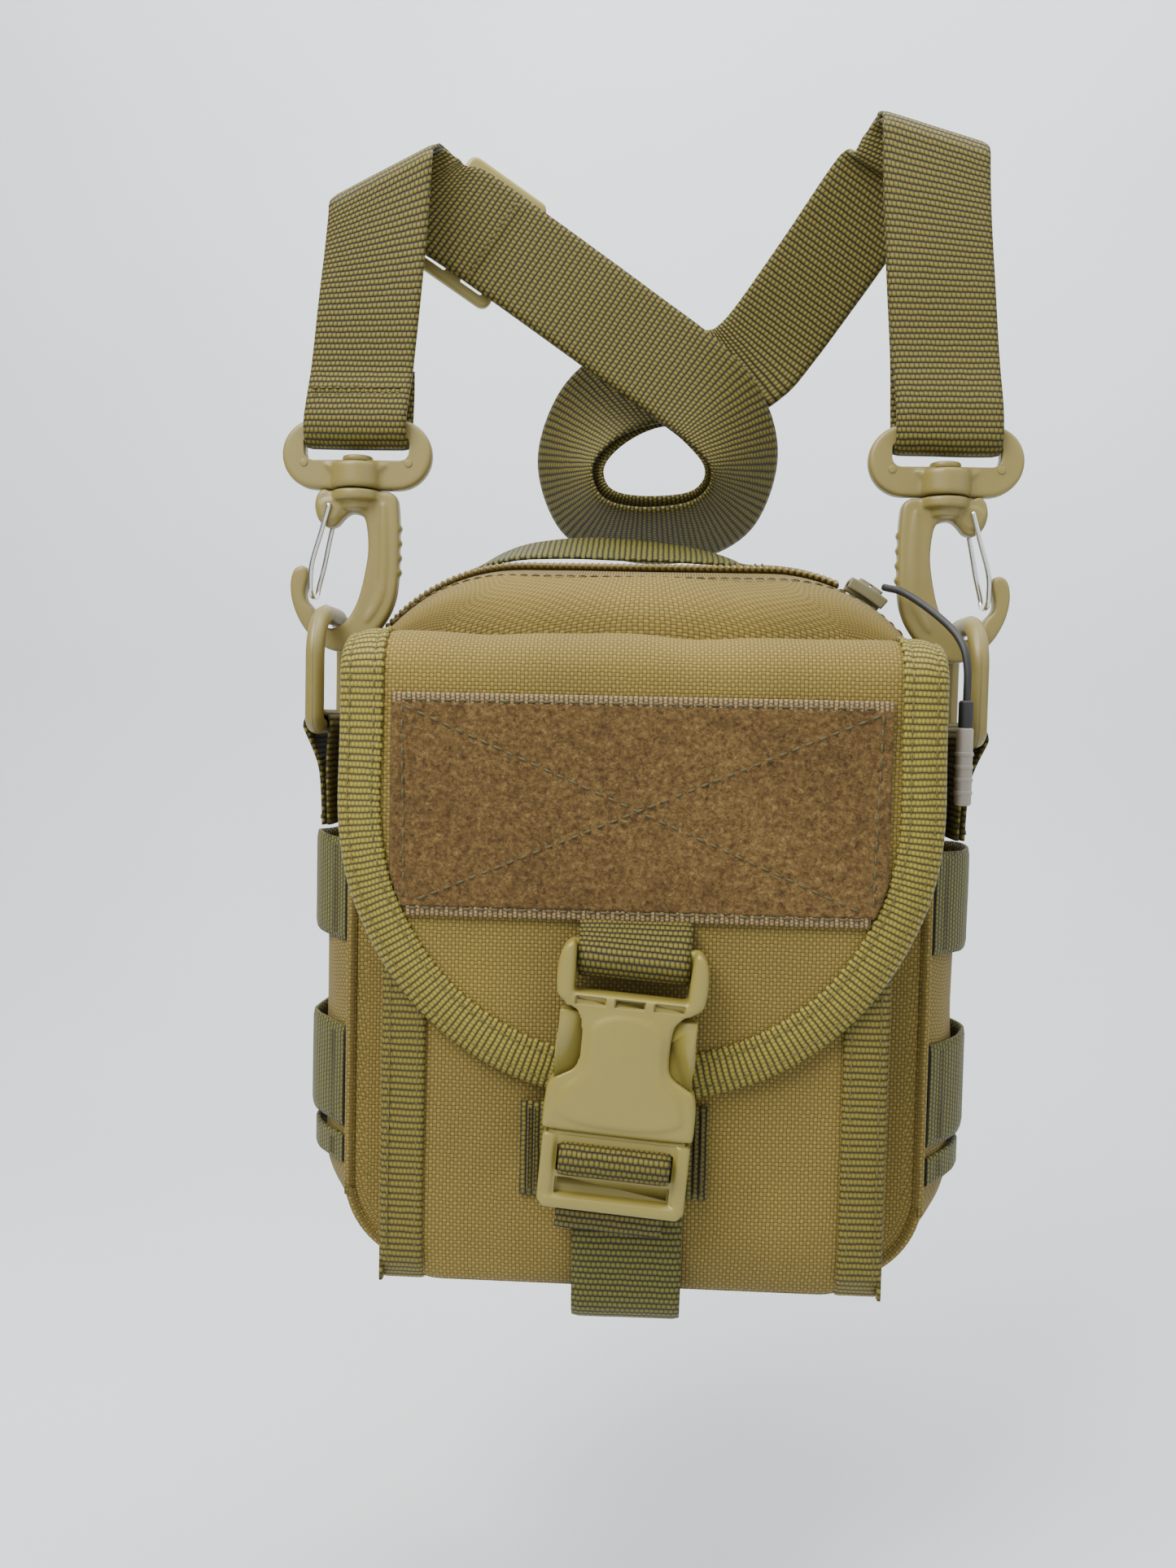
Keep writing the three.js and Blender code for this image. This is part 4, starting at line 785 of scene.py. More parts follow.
# piping round the front edge of the gusset
def u_path(off, y, z=40.0, n=14):
    w0, top, bot, rtp, rb = interp(SECT, y)
    w = w0 + off; r = rb + off
    pts = [(-w, y, z), (-w, y, -20)]
    pts += [(-(w0 - rb) + r * math.cos(rad(a)), y, bot + rb + r * math.sin(rad(a))) for a in [180 + 90 * i / n for i in range(n + 1)]]
    pts += [((w0 - rb) + r * math.cos(rad(a)), y, bot + rb + r * math.sin(rad(a))) for a in [270 + 90 * i / n for i in range(n + 1)]]
    pts += [(w, y, -20), (w, y, z)]
    return pts
pipe = tube("piping", u_path(0.5, -49.8, 52.0), 1.5, M["body"], 12, step=1.2)
final(pipe, "piping_tube", "bag", "body_fabric", "edge_piping")

# ------------------------------------------------------------------ front pocket
def pocket_y(x, z):
    """front face of the pocket panel"""
    e = max(0, 1 - (abs(x) / 56) ** 4)
    b = 0.5 + 2.0 * math.exp(-((z + 70) / 26) ** 2)
    bot = max(0, min(1, (z + 91) / 12)) ** 0.6
    w = noise.noise(V((x * 0.04, z * 0.05, 2.2))) * 0.8 + (noise.noise(V((x * 0.13 + z * 0.05, z * 0.045 - x * 0.02, 4.4))) * 0.8 if z < -35 else 0) * min(1, max(0, (-35 - z) / 15))
    return -69.6 - (b + w * (0.3 if z > -40 else 1)) * e * bot + 2.6 * (1 - bot) * 0.6
def u_ring(d, n_leg=44, n_arc=10, n_bot=26):
    w = 56 - d; b = -91 + d; r = max(0.4, 12 - d * 0.85); r = min(r, w * 0.98) if w > 0.5 else 0.4
    w = max(w, 0.4)
    r = min(r, w)
    pts = [(-w, 50 + (b + r - 50) * i / n_leg) for i in range(n_leg)]
    pts += [(-(w - r) + r * math.cos(rad(a)), b + r + r * math.sin(rad(a))) for a in [180 + 90 * i / n_arc for i in range(n_arc)]]
    pts += [(-(w - r) + 2 * (w - r) * i / n_bot, b) for i in range(n_bot)]
    pts += [((w - r) + r * math.cos(rad(a)), b + r + r * math.sin(rad(a))) for a in [270 + 90 * i / n_arc for i in range(n_arc)]]
    pts += [(w, b + r + (50 - b - r) * i / n_leg) for i in range(n_leg + 1)]
    return pts
verts, faces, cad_, uvp = [], [], [], []
rings = []
for y in (-50.6, -53, -56, -59, -62, -65, -67.2): rings.append((0.0 + 0.8 * math.sin(math.pi * (-(y) - 50) / 19), y, 0))
rings[0] = (0.0, -50.6, 0)
for k, d in enumerate((0.25, 1.0, 2.2, 4, 7, 11, 16, 22, 29, 37, 45, 51, 55.2)): rings.append((d, None, 1))
NU = None
for (d, y, kd) in rings:
    if kd == 0: p = u_ring(-d * 0.9)
    else: p = u_ring(d)
    NU = len(p)
    s = 0
    for i, (x, z) in enumerate(p):
        if i: s += math.dist(p[i], p[i - 1])
        if kd == 0: verts.append((x, y, z)); uvp.append((s, y))
        else:
            edge = {0.25: 1.3, 1.0: 0.45, 2.2: 0.1}.get(d, 0)
            yy = pocket_y(x, z)
            verts.append((x, yy + edge, z)); uvp.append((x + 150, z + 150))
for j in range(len(rings) - 1):
    for i in range(NU - 1):
        a = j * NU + i
        faces.append((a, a + 1, a + 1 + NU, a + NU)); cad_.append(0 if j < 7 else 1)
# join the two legs of the last ring down the middle
o = (len(rings) - 1) * NU
for i in range(NU // 2 - 1):
    faces.append((o + i, o + i + 1, o + NU - 2 - i, o + NU - 1 - i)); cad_.append(1)
pocket = mesh_obj("pocket_shell", verts, faces, M["body"])
fix_normals(pocket)
def pk_uv(fi, vi):
    x, y, z = verts[vi]
    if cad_[fi] == 1: return (x + 150, z + 150)
    return (uvp[vi][0], y) if uvp[vi][1] < 0 else (uvp[vi][0], -68)
if len(pocket.data.polygons) == len(faces):
    def pk2(fi, vi):
        x, y, z = verts[vi]
        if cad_[fi] == 1: return (x + 150, z + 150)
        return (cumP[vi % NU], y)
    cumP = [0]
    p0 = u_ring(0)
    for i in range(1, NU): cumP.append(cumP[-1] + math.dist(p0[i], p0[i - 1]))
    loop_uv(pocket, pk2)
pins = [1.0 if (v[1] > -52 or v[2] > 48 or abs(abs(v[0]) - 56) < 1.2 and v[1] < -66 or v[2] > -45) else 0.0 for v in verts]
sol = pocket.modifiers.new("thick", "SOLIDIFY"); sol.thickness = 1.4 * S; sol.offset = -1
bake(pocket)
subsurf(pocket)
final(pocket, "pocket_shell", "bag", "body_fabric", "pocket_front", "pocket_gusset")
for sgn, side in ((-1, "left"), (1, "right")):
    st = []
    for i in range(29):
        z = 46 - (46 + 90.6) * i / 28
        xc = sgn * 52.4
        y = (pocket_y(sgn * 47.6, z) + pocket_y(sgn * 53.5, z)) / 2 - 0.75
        tiltv = (pocket_y(sgn * 48.5, z) - pocket_y(sgn * 55.0, z)) * -0.5 * sgn
        y += 2.2 * max(0, (-86 - z) / 4.6) ** 1.6
        st.append(((xc, y + 0.15, z), (4.9, tiltv * 0.6 if sgn > 0 else tiltv * 0.6, 0)))
    b = strip("pb", st, 1.3, M["bind2"], nx=12, wob=0.1, seed=sgn)
    # binding wraps back round the pocket's edge
    st2 = [((sgn * 57.5, -66.4, p[0][2]), (0.25 * sgn, 3.9, 0)) for p in st]
    b2 = strip("pb2", st2, 1.1, M["bind2"], nx=6, wob=0.1)
    rows = [stitches("s", [(sgn * x, st[i][0][1] - 0.62 + (0.0), st[i][0][2]) for i in range(29)], M["thread"], 3.0, 2.2) for x in (49.2, 55.6)]
    pb = join(f"pocket_binding_tape_{side}", [b, b2] + rows)
    final(pb, f"pocket_binding_tape_{side}", "bag", "binding", f"pocket_binding_{side}")

# keeper webbing, its bar tacks and the lower strap
st = [((x, (pocket_y(x, -57) if -20 < x < 14 else pocket_y(x, -57)) - (0.9 if x < -20 or x > 13 else 1.3), -57.2), (0, 0, 10.7)) for x in [-25, -23, -20, -14, -6, 2, 8, 13, 15.5, 17.6]]
kp = strip("kp", st, 1.3, M["web"], nx=14, wob=0.12, seed=4)
rows = [kp]
for xx in (-23.2, -21.8, 14.6, 16.0):
    rows.append(stitches("s", [(xx, pocket_y(xx, -57) - 1.75, z) for z in (-47.6, -57, -66.8)], M["thread_dark"], 0.95, 1.25, 0.3))
kp = join("strap_keeper_webbing", rows); final(kp, "strap_keeper_webbing", "bag", "webbing", "strap_keeper")
st = []
for z in (-59, -64, -70, -76, -82, -87): st.append(((-0.5 - (z + 64) * 0.006, min(pocket_y(-0.5, z) - 2.5, -73.0), z), (12.4, 0, 0)))
st += [((-0.4, -72.2, -91.5), (12.4, 0, 0)), ((-0.4, -70.6, -95), (12.4, 0, 0)), ((-0.4, -67.2, -97.6), (12.4, 0, 0)), ((-0.4, -62, -98.2), (12.4, 0, 0)), ((-0.4, -56, -97.6), (12.4, 0, 0)), ((-0.4, -52, -97.0), (12.4, 0, 0))]
ls = strip("lower_strap_webbing", st, 1.3, M["web2"], nx=16, wob=0.25, seed=9)
final(ls, "lower_strap_webbing", "bag", "webbing", "lower_strap")

# ------------------------------------------------------------------ flap
RR = 10.3
def prof_at(s):
    """outer line of the flap in the Y-Z plane, s from the seam; returns y, z, normal (y, z)"""
    y0, L0, La = -51.2, 12.2, RR * math.pi / 2
    cy, cz = -63.4, 49.5
    if s < L0: return y0 - s, cz + RR, 0.0, 1.0
    if s < L0 + La:
        a = math.pi / 2 + (s - L0) / RR
        return cy + RR * math.cos(a), cz + RR * math.sin(a), math.cos(a), math.sin(a)
    return cy - RR, cz - (s - L0 - La), -1.0, 0.0
S_V = 12.2 + RR * math.pi / 2            # profile length where the flap starts to hang straight
def s_of_z(z): return S_V + 49.5 - z
FR = [(67.3, 0), (67.3, S_V + 9.5), (67.6, s_of_z(18)), (65.6, s_of_z(4)), (62, s_of_z(-6)), (56.6, s_of_z(-16)), (49.5, s_of_z(-25)), (41, s_of_z(-32.5)), (31, s_of_z(-38.5)), (20, s_of_z(-42.6)), (8, s_of_z(-45)), (0, s_of_z(-45.3))]
fr = [(p[0], p[1]) for p in cat([(a, b, 0) for a, b in FR], 150)]
fr[-1] = (0.0, fr[-1][1])
def edge_drop(x, s):
    """how far the free edge curves back towards the pocket"""
    z = 49.5 - (s - S_V)
    if z > 49: lim = 67.3
    else: lim = 67.4
    r = max(abs(x) / 67.4, 0)
    c = math.hypot(x * 0.95, z - 12) / 64 if z < 12 else abs(x) / 67.4
    k = max(0, max(c, r) - 0.80) / 0.2
    return 2.0 * min(1.4, k) ** 1.7
def flap_pt(x, s, off=0.0):
    y, z, ny, nz = prof_at(s)
    z_ = 49.5 - (s - S_V)
    wv = noise.noise(V((x * 0.045, s * 0.04, 7.7))) * 0.55
    up_ = max(0, 1 - abs(s - 16) / 14)
    sag = 1.3 * up_ * noise.noise(V((x * 0.05 + 9, 1.1, 0.3)))
    d = off + wv + sag - edge_drop(x, s)
    return (x, y + ny * d, z + nz * d)
def fsurf(name, half, s_list, nx, mat, off0, off1, pile=0.0):
    """thick sheet on the flap: half(s) gives its half width"""
    top, uvs, faces = [], [], []
    for s in s_list:
        h = half(s)
        for i in range(nx + 1):
            x = -h + 2 * h * i / nx
            p = flap_pt(x, s, off1)
            if pile: p = (p[0], p[1] - random.random() * pile, p[2])
            top.append(p); uvs.append((x + 100, s))
    n = len(top)
    for s in s_list:
        h = half(s)
        for i in range(nx + 1):
            x = -h + 2 * h * i / nx
            top.append(flap_pt(x, s, off0)); uvs.append((x + 100, s))
    m_ = len(s_list)
    for j in range(m_ - 1):
        for i in range(nx):
            a = j * (nx + 1) + i
            faces.append((a, a + 1, a + nx + 2, a + nx + 1)); faces.append((n + a, n + a + nx + 1, n + a + nx + 2, n + a + 1))
    for i in range(nx):
        faces.append((i, n + i, n + i + 1, i + 1)); a = (m_ - 1) * (nx + 1) + i
        faces.append((a, a + 1, n + a + 1, n + a))
    for j in range(m_ - 1):
        a = j * (nx + 1); faces.append((a, a + nx + 1, n + a + nx + 1, n + a))
        a = a + nx; faces.append((a, n + a, n + a + nx + 1, a + nx + 1))
    o = mesh_obj(name, top, faces, mat, uvs); fix_normals(o); return o
def flap_half(s):
    for a, b in zip(fr, fr[1:]):
        if a[1] <= s <= b[1]:
            t = (s - a[1]) / ((b[1] - a[1]) or 1); return a[0] + (b[0] - a[0]) * t
    return 0.01
s_rows = [p[1] for p in fr[::2]]
hw_rows = {round(p[1], 5): max(0.02, p[0]) for p in fr}
flap = fsurf("flap_cloth", lambda s: hw_rows.get(round(s, 5), 0.02), s_rows, 72, M["body"], -1.9, 0.0)
def seam_bend(ob_, name, node):
    """sewn along the seam; the piece is only named, its transform baked into the mesh and its CAD node hidden"""
    ob_.name = name
    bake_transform(ob_)
    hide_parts(node)
seam_bend(flap, "flap_cloth", "flap_panel")

# binding: profile swept round the free edge
edge = [(-x, s) for x, s in fr] + [(x, s) for x, s in reversed(fr)][1:]
edge = [(p[0], p[1]) for p in cat([(a, b, 0) for a, b in edge[::3]] + [(edge[-1][0], edge[-1][1], 0)], 420)]
verts, uvs, faces = [], [], []
inner_line, outer_line = [], []
dist_ = 0
BW = 9.6
for i, (x, s) in enumerate(edge):
    a = edge[max(0, i - 1)]; b = edge[min(len(edge) - 1, i + 1)]
    t = V((b[0] - a[0], b[1] - a[1])).normalized(); nin = V((t.y, -t.x))
    if i: dist_ += math.dist(edge[i], edge[i - 1])
    if nin.dot(V((0 - x, 55 - s))) < 0: nin = -nin
    scal = 0.30 * math.sin(2 * math.pi * dist_ / 2.9)
    def P(d, off): return flap_pt(x + nin.x * d, s + nin.y * d, off)
    ridge = 0.12 * math.sin(2 * math.pi * dist_ / 2.9)
    sec = [(BW + scal, 0.1), (BW + scal, 0.75), (BW - 0.8, 1.05 + ridge), (7.6, 0.72), (6.4, 1.0), (4.6, 1.12), (3.0, 1.0), (1.9, 0.72), (0.9, 0.95), (0.0, 0.55), (-0.75, -0.4), (-0.75, -1.6), (0.0, -2.6), (3, -2.9), (8.0, -2.8), (8.0, -2.0)]
    for d, off in sec:
        verts.append(P(d, off)); uvs.append((d * 1.0 + (0 if off > -1 else 12), dist_))
    if 4 < i < len(edge) - 4:
        inner_line.append(P(7.6, 0.72)); outer_line.append(P(1.9, 0.72))
K = len(sec)
for i in range(len(edge) - 1):
    for k in range(K - 1):
        a = i * K + k; faces.append((a, a + 1, a + 1 + K, a + K))
faces.append(tuple(range(K))); faces.append(tuple((len(edge) - 1) * K + k for k in range(K - 1, -1, -1)))
bind = mesh_obj("flap_bind", verts, faces, M["bind"], uvs); fix_normals(bind)
rows = [bind, stitches("s", inner_line, M["thread"], 2.9, 2.2, 0.26), stitches("s", outer_line, M["thread"], 2.9, 2.2, 0.26)]
fb = join("flap_binding_tape", rows); seam_bend(fb, "flap_binding_tape", "flap_binding")

# loop panel with selvedges and stitching
def loop_half(s):
    z = 49.5 - (s - S_V)
    return min(55.5, flap_half(s + 2.0) - 9.9)
sl = [s_of_z(45.5 - 50 * i / 64) for i in range(65)]
def pile_half(s): return loop_half(s)
pile = fsurf("pile", pile_half, [s_of_z(43.4 - 45.8 * i / 78) for i in range(79)], 150, M["pile"], 0.0, 1.15, 0.5)
selv = []
for z0, z1 in ((45.6, 43.0), (-2.0, -4.6)):
    st = [(flap_pt(x, s_of_z((z0 + z1) / 2), 0.85), (0, 0, (z0 - z1) / 2)) for x in [-loop_half(s_of_z(z1)) + 2 * loop_half(s_of_z(z1)) * i / 24 for i in range(25)]]
    selv.append(strip("selv", st, 0.9, M["selv"], nx=6, wob=0.08))
lines = []
h0 = loop_half(s_of_z(0)) - 2.0
def seam_line(x0, z0, x1, z1, off=1.35, n=40):
    return [flap_pt(x0 + (x1 - x0) * i / n, s_of_z(z0 + (z1 - z0) * i / n), off) for i in range(n + 1)]
for (a, b, c, d) in ((-53.4, 43.9, 53.4, 43.9), (-h0, -2.8, h0, -2.8), (-53.2, 43.0, -h0 - 0.4, -2.0), (53.2, 43.0, h0 + 0.4, -2.0), (-53.0, 42.6, h0, -2.0), (53.0, 42.6, -h0, -2.0)):
    off = 1.2 if abs(b - d) < 1 else 1.25
    lines.append(stitches("s", seam_line(a, b, c, d, off), M["thread_dark"], 3.1, 2.5, 0.36))
lp = join("loop_pile_panel", [pile] + selv + lines); final(lp, "loop_pile_panel", "flap", "loop_pile", "loop_panel")

# ------------------------------------------------------------------ flap webbing and the side-release buckle
BM = Matrix.Translation((BUCKLE[0] * S, BUCKLE[1] * S, BUCKLE[2] * S)) @ Matrix.Rotation(TILT, 4, "Y")
def bl(x, y, z):
    p = BM @ V((x * S, y * S, z * S)); return (p.x / S, p.y / S, p.z / S)
wx = (12.3 * math.cos(TILT), 0, -12.3 * math.sin(TILT) * 0.4)
st = [((0.2, -73.9, -3.0), (12.6, 0, 0)), ((0.2, -74.6, -5.0), (12.6, 0, 0)), ((0.25, -77.0, -6.8), (12.6, 0, -0.2)), (bl(-0.3, 1.0, -0.8), (12.25, 0, -0.8)), (bl(-0.2, -0.9, -3.2), (12.2, 0, -0.9)),
      (bl(0, -0.9, -5.6), (12.2, 0, -0.95)), (bl(0, 0.8, -7.6), (12.2, 0, -0.95)), (bl(0, 3.0, -8.0), (12.2, 0, -0.95)), (bl(0, 4.6, -6.2), (12.2, 0, -0.9)), (bl(0, 4.9, -2.0), (12.2, 0, -0.8))]
fs = strip("flap_strap_webbing", st, 1.15, M["web"], nx=16, wob=0.1)
final(fs, "flap_strap_webbing", "flap", "webbing", "flap_strap")

def smooth_out(pts, it=2): return [(p[0], p[1]) for p in chaikin(pts, it)]
def mir(pts): return [(-x, z) for x, z in reversed(pts)]
R_ = [[13.0, -0.1], [15.2, -1.0], [16.3, -3.6], [16.4, -9.5], [15.6, -12.2], [13.2, -13.9], [11.0, -15.2], [9.8, -18], [9.6, -25.5], [10.6, -28.2], [13.4, -29.8], [15.9, -31.2], [16.6, -34], [16.7, -41.2], [16.4, -42.3]]
def buckle_socket():
    parts = []
    # lower body: full outline below the slot
    low = [(x, z) for x, z in R_ if z < -11.5]
    o = [(13.9, -11.4)] + low
    o = o + mir(o)
    parts.append(plate(smooth_out(o, 2), -3.6, 3.6, 1.3, steps=4))
    # side shoulders beside the slot
    for s_ in (-1, 1):
        sh = [(s_ * x, z) for x, z in ((12.9, 0.1), (15.0, -0.8), (16.4, -3.4), (16.6, -9.5), (15.9, -13), (12.4, -14.5), (12.5, -7))]
        parts.append(plate(smooth_out(sh, 2), -3.9, 3.9, 1.2, steps=4))
    # top bar behind the webbing, crossbar below the slot
    parts.append(block(-14.5, 14.5, 1.1, 3.9, -6.2, -0.5, 0.8))
    parts.append(block(-14.0, 14.0, -3.7, 3.4, -14.4, -11.4, 1.0))
    # raised panel on the waist and the flare over the mouth
    parts.append(plate(smooth_out([(8.2, -15.6), (8.2, -26), (9.4, -29.4), (13.6, -33), (14.2, -40.6), (-14.2, -40.6), (-13.6, -33), (-9.4, -29.4), (-8.2, -26), (-8.2, -15.6)], 2), -4.1, -2.6, 0.7, steps=3))
    b = join("socket", parts)
    melt(b, 0.42, 5, 0.5)
    cut = block(-15.1, 15.1, -2.35, 2.35, -43.5, -15.6, 0.5)
    boolean(b, cut)
    for xx in (-8.6, 0, 8.6):
        boolean(b, block(xx - 3.4, xx + 3.4, -5.0, -2.9, -13.9, -12.0, 0.3))
    setmat(b, M["plastic"])
    return b
sock = buckle_socket(); move(sock, BM); final(sock, "buckle_socket_body", "flap", "plastic", "buckle_socket")

def buckle_plug():
    fr_ = round_rect(-16.3, 16.3, -59.3, -42.7, 2.0)
    b = plate(fr_, -2.3, 2.3, 0.9)
    rails = [block(s_ * 14.7 - 1.6, s_ * 14.7 + 1.6, -3.0, 2.4, -58.6, -42.8, 0.8) for s_ in (-1, 1)]
    lip = block(-15.4, 15.4, -3.6, 1.8, -59.5, -56.6, 0.9)
    root = block(-13.6, 13.6, -2.2, 2.2, -45.0, -39.6, 0.7)
    tongue = block(-2.7, 2.7, -1.5, 1.5, -43.0, -18.0, 0.6)
    b = join("plug", [b, lip, root, tongue] + rails)
    melt(b, 0.42, 4, 0.5)
    boolean(b, block(-12.7, 12.7, -6, 6, -51.4, -45.2, 0.5))
    boolean(b, block(-12.6, 12.6, -6, -0.4, -56.4, -52.6, 0.4))
    setmat(b, M["plastic"])
    return b
pl = buckle_plug(); move(pl, BM); final(pl, "buckle_plug_body", "plug", "plastic", "buckle_plug")
for sgn, side in ((-1, "left"), (1, "right")):
    o = smooth_out([(sgn * x, z) for x, z in ((9.4, -39.4), (6.6, -39.4), (7.4, -30), (9.5, -22.5), (11.2, -17.4), (13.5, -17.6), (14.9, -20.5), (15.6, -24.5), (14.9, -28.0), (12.8, -29.6), (10.8, -32.6))], 2)
    b = plate(o, -2.0, 2.0, 0.7)
    ribs = [block(sgn * 14.2 - 1.3, sgn * 14.2 + 1.3, -2.05, 2.05, z - 0.35, z + 0.35, 0.2) for z in (-21.6, -23.2, -24.8, -26.4)]
    b = join("prong", [b] + ribs); melt(b, 0.4, 2, 0.4); setmat(b, M["plastic"])
    move(b, BM); final(b, f"buckle_prong_arm_{side}", f"prong_{side}", "plastic", f"buckle_prong_{side}")
# webbing folded through the plug, bulging forward in the window, and the sewn strip behind
st = [(bl(0, y, z), (12.1, 0, -0.95)) for y, z in ((2.9, -58.0), (3.0, -52.5), (1.2, -49.6), (-2.6, -51.3), (-4.3, -50.6), (-5.2, -48.3), (-4.6, -46.0), (-2.6, -45.2), (0.6, -45.4), (2.9, -46.6), (3.1, -50.0), (3.4, -58.0))]
pwb = strip("plug_wrap", st, 1.0, M["web"], nx=14, wob=0.08, step=0.6)
st = [(bl(0, y, z), (12.0, 0, -0.9)) for y, z in ((3.5, -56), (3.6, -60), (3.9, -63.5), (4.6, -66.2))]
pw2 = strip("plug_tail", st, 1.2, M["web"], nx=14, wob=0.1)
pw = join("plug_webbing_wrap", [pwb, pw2]); final(pw, "plug_webbing_wrap", "plug", "webbing", "plug_webbing")

# ------------------------------------------------------------------ side webbing, ring tabs, D-rings
def side_strip(name, sgn, z0, z1, bulge, mat, seed):
    zc, hw = (z0 + z1) / 2, abs(z1 - z0) / 2
    st = []
    for i in range(25):
        y = -48.6 + 45.4 * i / 24
        u = max(0, min(1, (y + 43) / 36))
        b_ = bulge * math.sin(math.pi * u) ** 0.7
        st.append(((sgn * (interp(SECT, y)[0] + side_swell(y, zc) + 0.8 + b_), y, zc + 0.3 * math.sin(seed + i * 0.4)), (0, 0, hw)))
    s_ = strip(name, st, 1.3, mat, nx=14, wob=0.15, seed=seed)
    rows = [s_]
    for yy in (-45.2, -44.2, -5.2, -6.2):
        xs_ = sgn * (interp(SECT, yy)[0] + side_swell(yy, zc) + 1.45)
        rows.append(stitches("t", [(xs_, yy, z0 + 1), (xs_, yy, z1 - 1)], M["thread_dark"], 1.1, 1.3, 0.28, normals=[(sgn, 0, 0)] * 2))
    return join(name, rows)
for sgn, side in ((-1, "left"), (1, "right")):
    for i, (nm, z0, z1) in enumerate((("upper", -15, 10), ("middle", -61.5, -36.5), ("lower", -71, -64.2))):
        o = side_strip("sw", sgn, z0, z1, 2.3 if nm != "lower" else 1.2, M["web2"], sgn * 2 + i * 1.7)
        final(o, f"side_loop_{nm}_{side}", "bag", "webbing", f"side_webbing_{nm}_{side}")
    # tab: webbing doubled round the straight bar of the D-ring
    yv = (0, 12.4, 0)
    pts = [(HALF_W + 0.9, 12.6), (HALF_W + 1.2, 20), (HALF_W + 1.4, 27), (HALF_W + 1.2, 33.5)]
    pts += [(RING_X + 3.35 * math.cos(rad(a)), RING_Z + 3.35 * math.sin(rad(a))) for a in range(200, -36, -20)]
    pts += [(HALF_W + 4.6, 31), (HALF_W + 3.2, 26.5), (HALF_W + 2.6, 20), (HALF_W + 2.3, 12.6)]
    st = [((sgn * x, RING_Y, z), yv) for x, z in pts]
    tab = strip("tab", st, 1.15, M["web"], nx=16, wob=0.1, step=0.8)
    rows = [tab]
    for zz in (14.2, 25.2): rows.append(stitches("t", [(sgn * (HALF_W + 3.1), RING_Y - 11, zz), (sgn * (HALF_W + 3.1), RING_Y + 11, zz)], M["thread_dark"], 1.6, 1.4, 0.3, normals=[(sgn, 0, 0)] * 2))
    rows.append(stitches("t", [(sgn * (HALF_W + 3.1), RING_Y - 11, 14.2), (sgn * (HALF_W + 3.1), RING_Y + 11, 25.2)], M["thread_dark"], 2.4, 1.8, 0.3, normals=[(sgn, 0, 0)] * 2))
    tab = join("tab", rows); final(tab, f"ring_tab_webbing_{side}", "bag", "webbing", f"ring_tab_{side}")
    # D-ring
    h, rc, topz, rl = 15.6, 11, 65.4, 2.6
    pp = [(-h + rl + rl * math.cos(rad(a)), RING_Z + rl + rl * math.sin(rad(a))) for a in range(270, 179, -15)]
    pp += [(-h, RING_Z + 6), (-h, RING_Z + 11)]
    pp += [(-h + rc + rc * math.cos(rad(a)), topz - rc + rc * math.sin(rad(a))) for a in range(180, 89, -9)]
    pp += [(h - rc + rc * math.cos(rad(a)), topz - rc + rc * math.sin(rad(a))) for a in range(90, -1, -9)]
    pp += [(h, RING_Z + 11), (h, RING_Z + 6)]
    pp += [(h - rl + rl * math.cos(rad(a)), RING_Z + rl + rl * math.sin(rad(a))) for a in range(0, -91, -15)]
    path3 = [(sgn * RING_X, RING_Y + y, z) for y, z in pp]
    d1 = tube("dring", path3, 2.3, M["plastic2"], 20, closed=True)
    # flat parting line moulded round the ring
    d2 = tube("fin", [(p[0], RING_Y + (p[1] - RING_Y) * 1.0, p[2]) for p in path3], 2.42, M["plastic2"], 20, closed=True, squash_=1.0)
    for v in d2.data.vertices:
        cx = sgn * RING_X * S
        v.co.x = cx + (v.co.x - cx) * 0.10
    dr = join("dring", [d1, d2]); final(dr, f"d_ring_moulded_{side}", f"d_ring_{side}", "plastic", f"d_ring_{side}")

# ------------------------------------------------------------------ carrying handle
st = []
for i in range(41):
    u = i / 40; x = -48.5 + 97 * u
    q = max(0.0, min(1.0, (x + 48.5) / 76.0)); sn = math.sin(math.pi * q)
    rise = 5.4 * sn ** 0.6
    base_ = 80.75 - (46 - math.sqrt(46 ** 2 - max(0.0, abs(x) - 30.5) ** 2))
    st.append(((x, -11.5 + 0.3 * math.sin(5 * u), base_ + rise + 0.3 * math.sin(9 * u) * sn), (0, 9.5 - 1.5 * sn ** 0.5, 0.05 + 3.6 * sn ** 0.5)))
hd = strip("handle", st, 1.3, M["web2"], nx=14, wob=0.2, seed=3)
rows = [hd]
for xx in (-46.8, -45.0, 28.5, 30.3, 45.0, 46.8):
    zz_ = 81.5 - (46 - math.sqrt(46 ** 2 - max(0.0, abs(xx) - 30.5) ** 2))
    rows.append(stitches("t", [(xx, -19, zz_), (xx, -4, zz_)], M["thread_dark"], 1.2, 1.4, 0.3, normals=[(0, 0, 1)] * 2))
hd = join("carry_handle_webbing", rows); final(hd, "carry_handle_webbing", "bag", "webbing", "grab_handle")

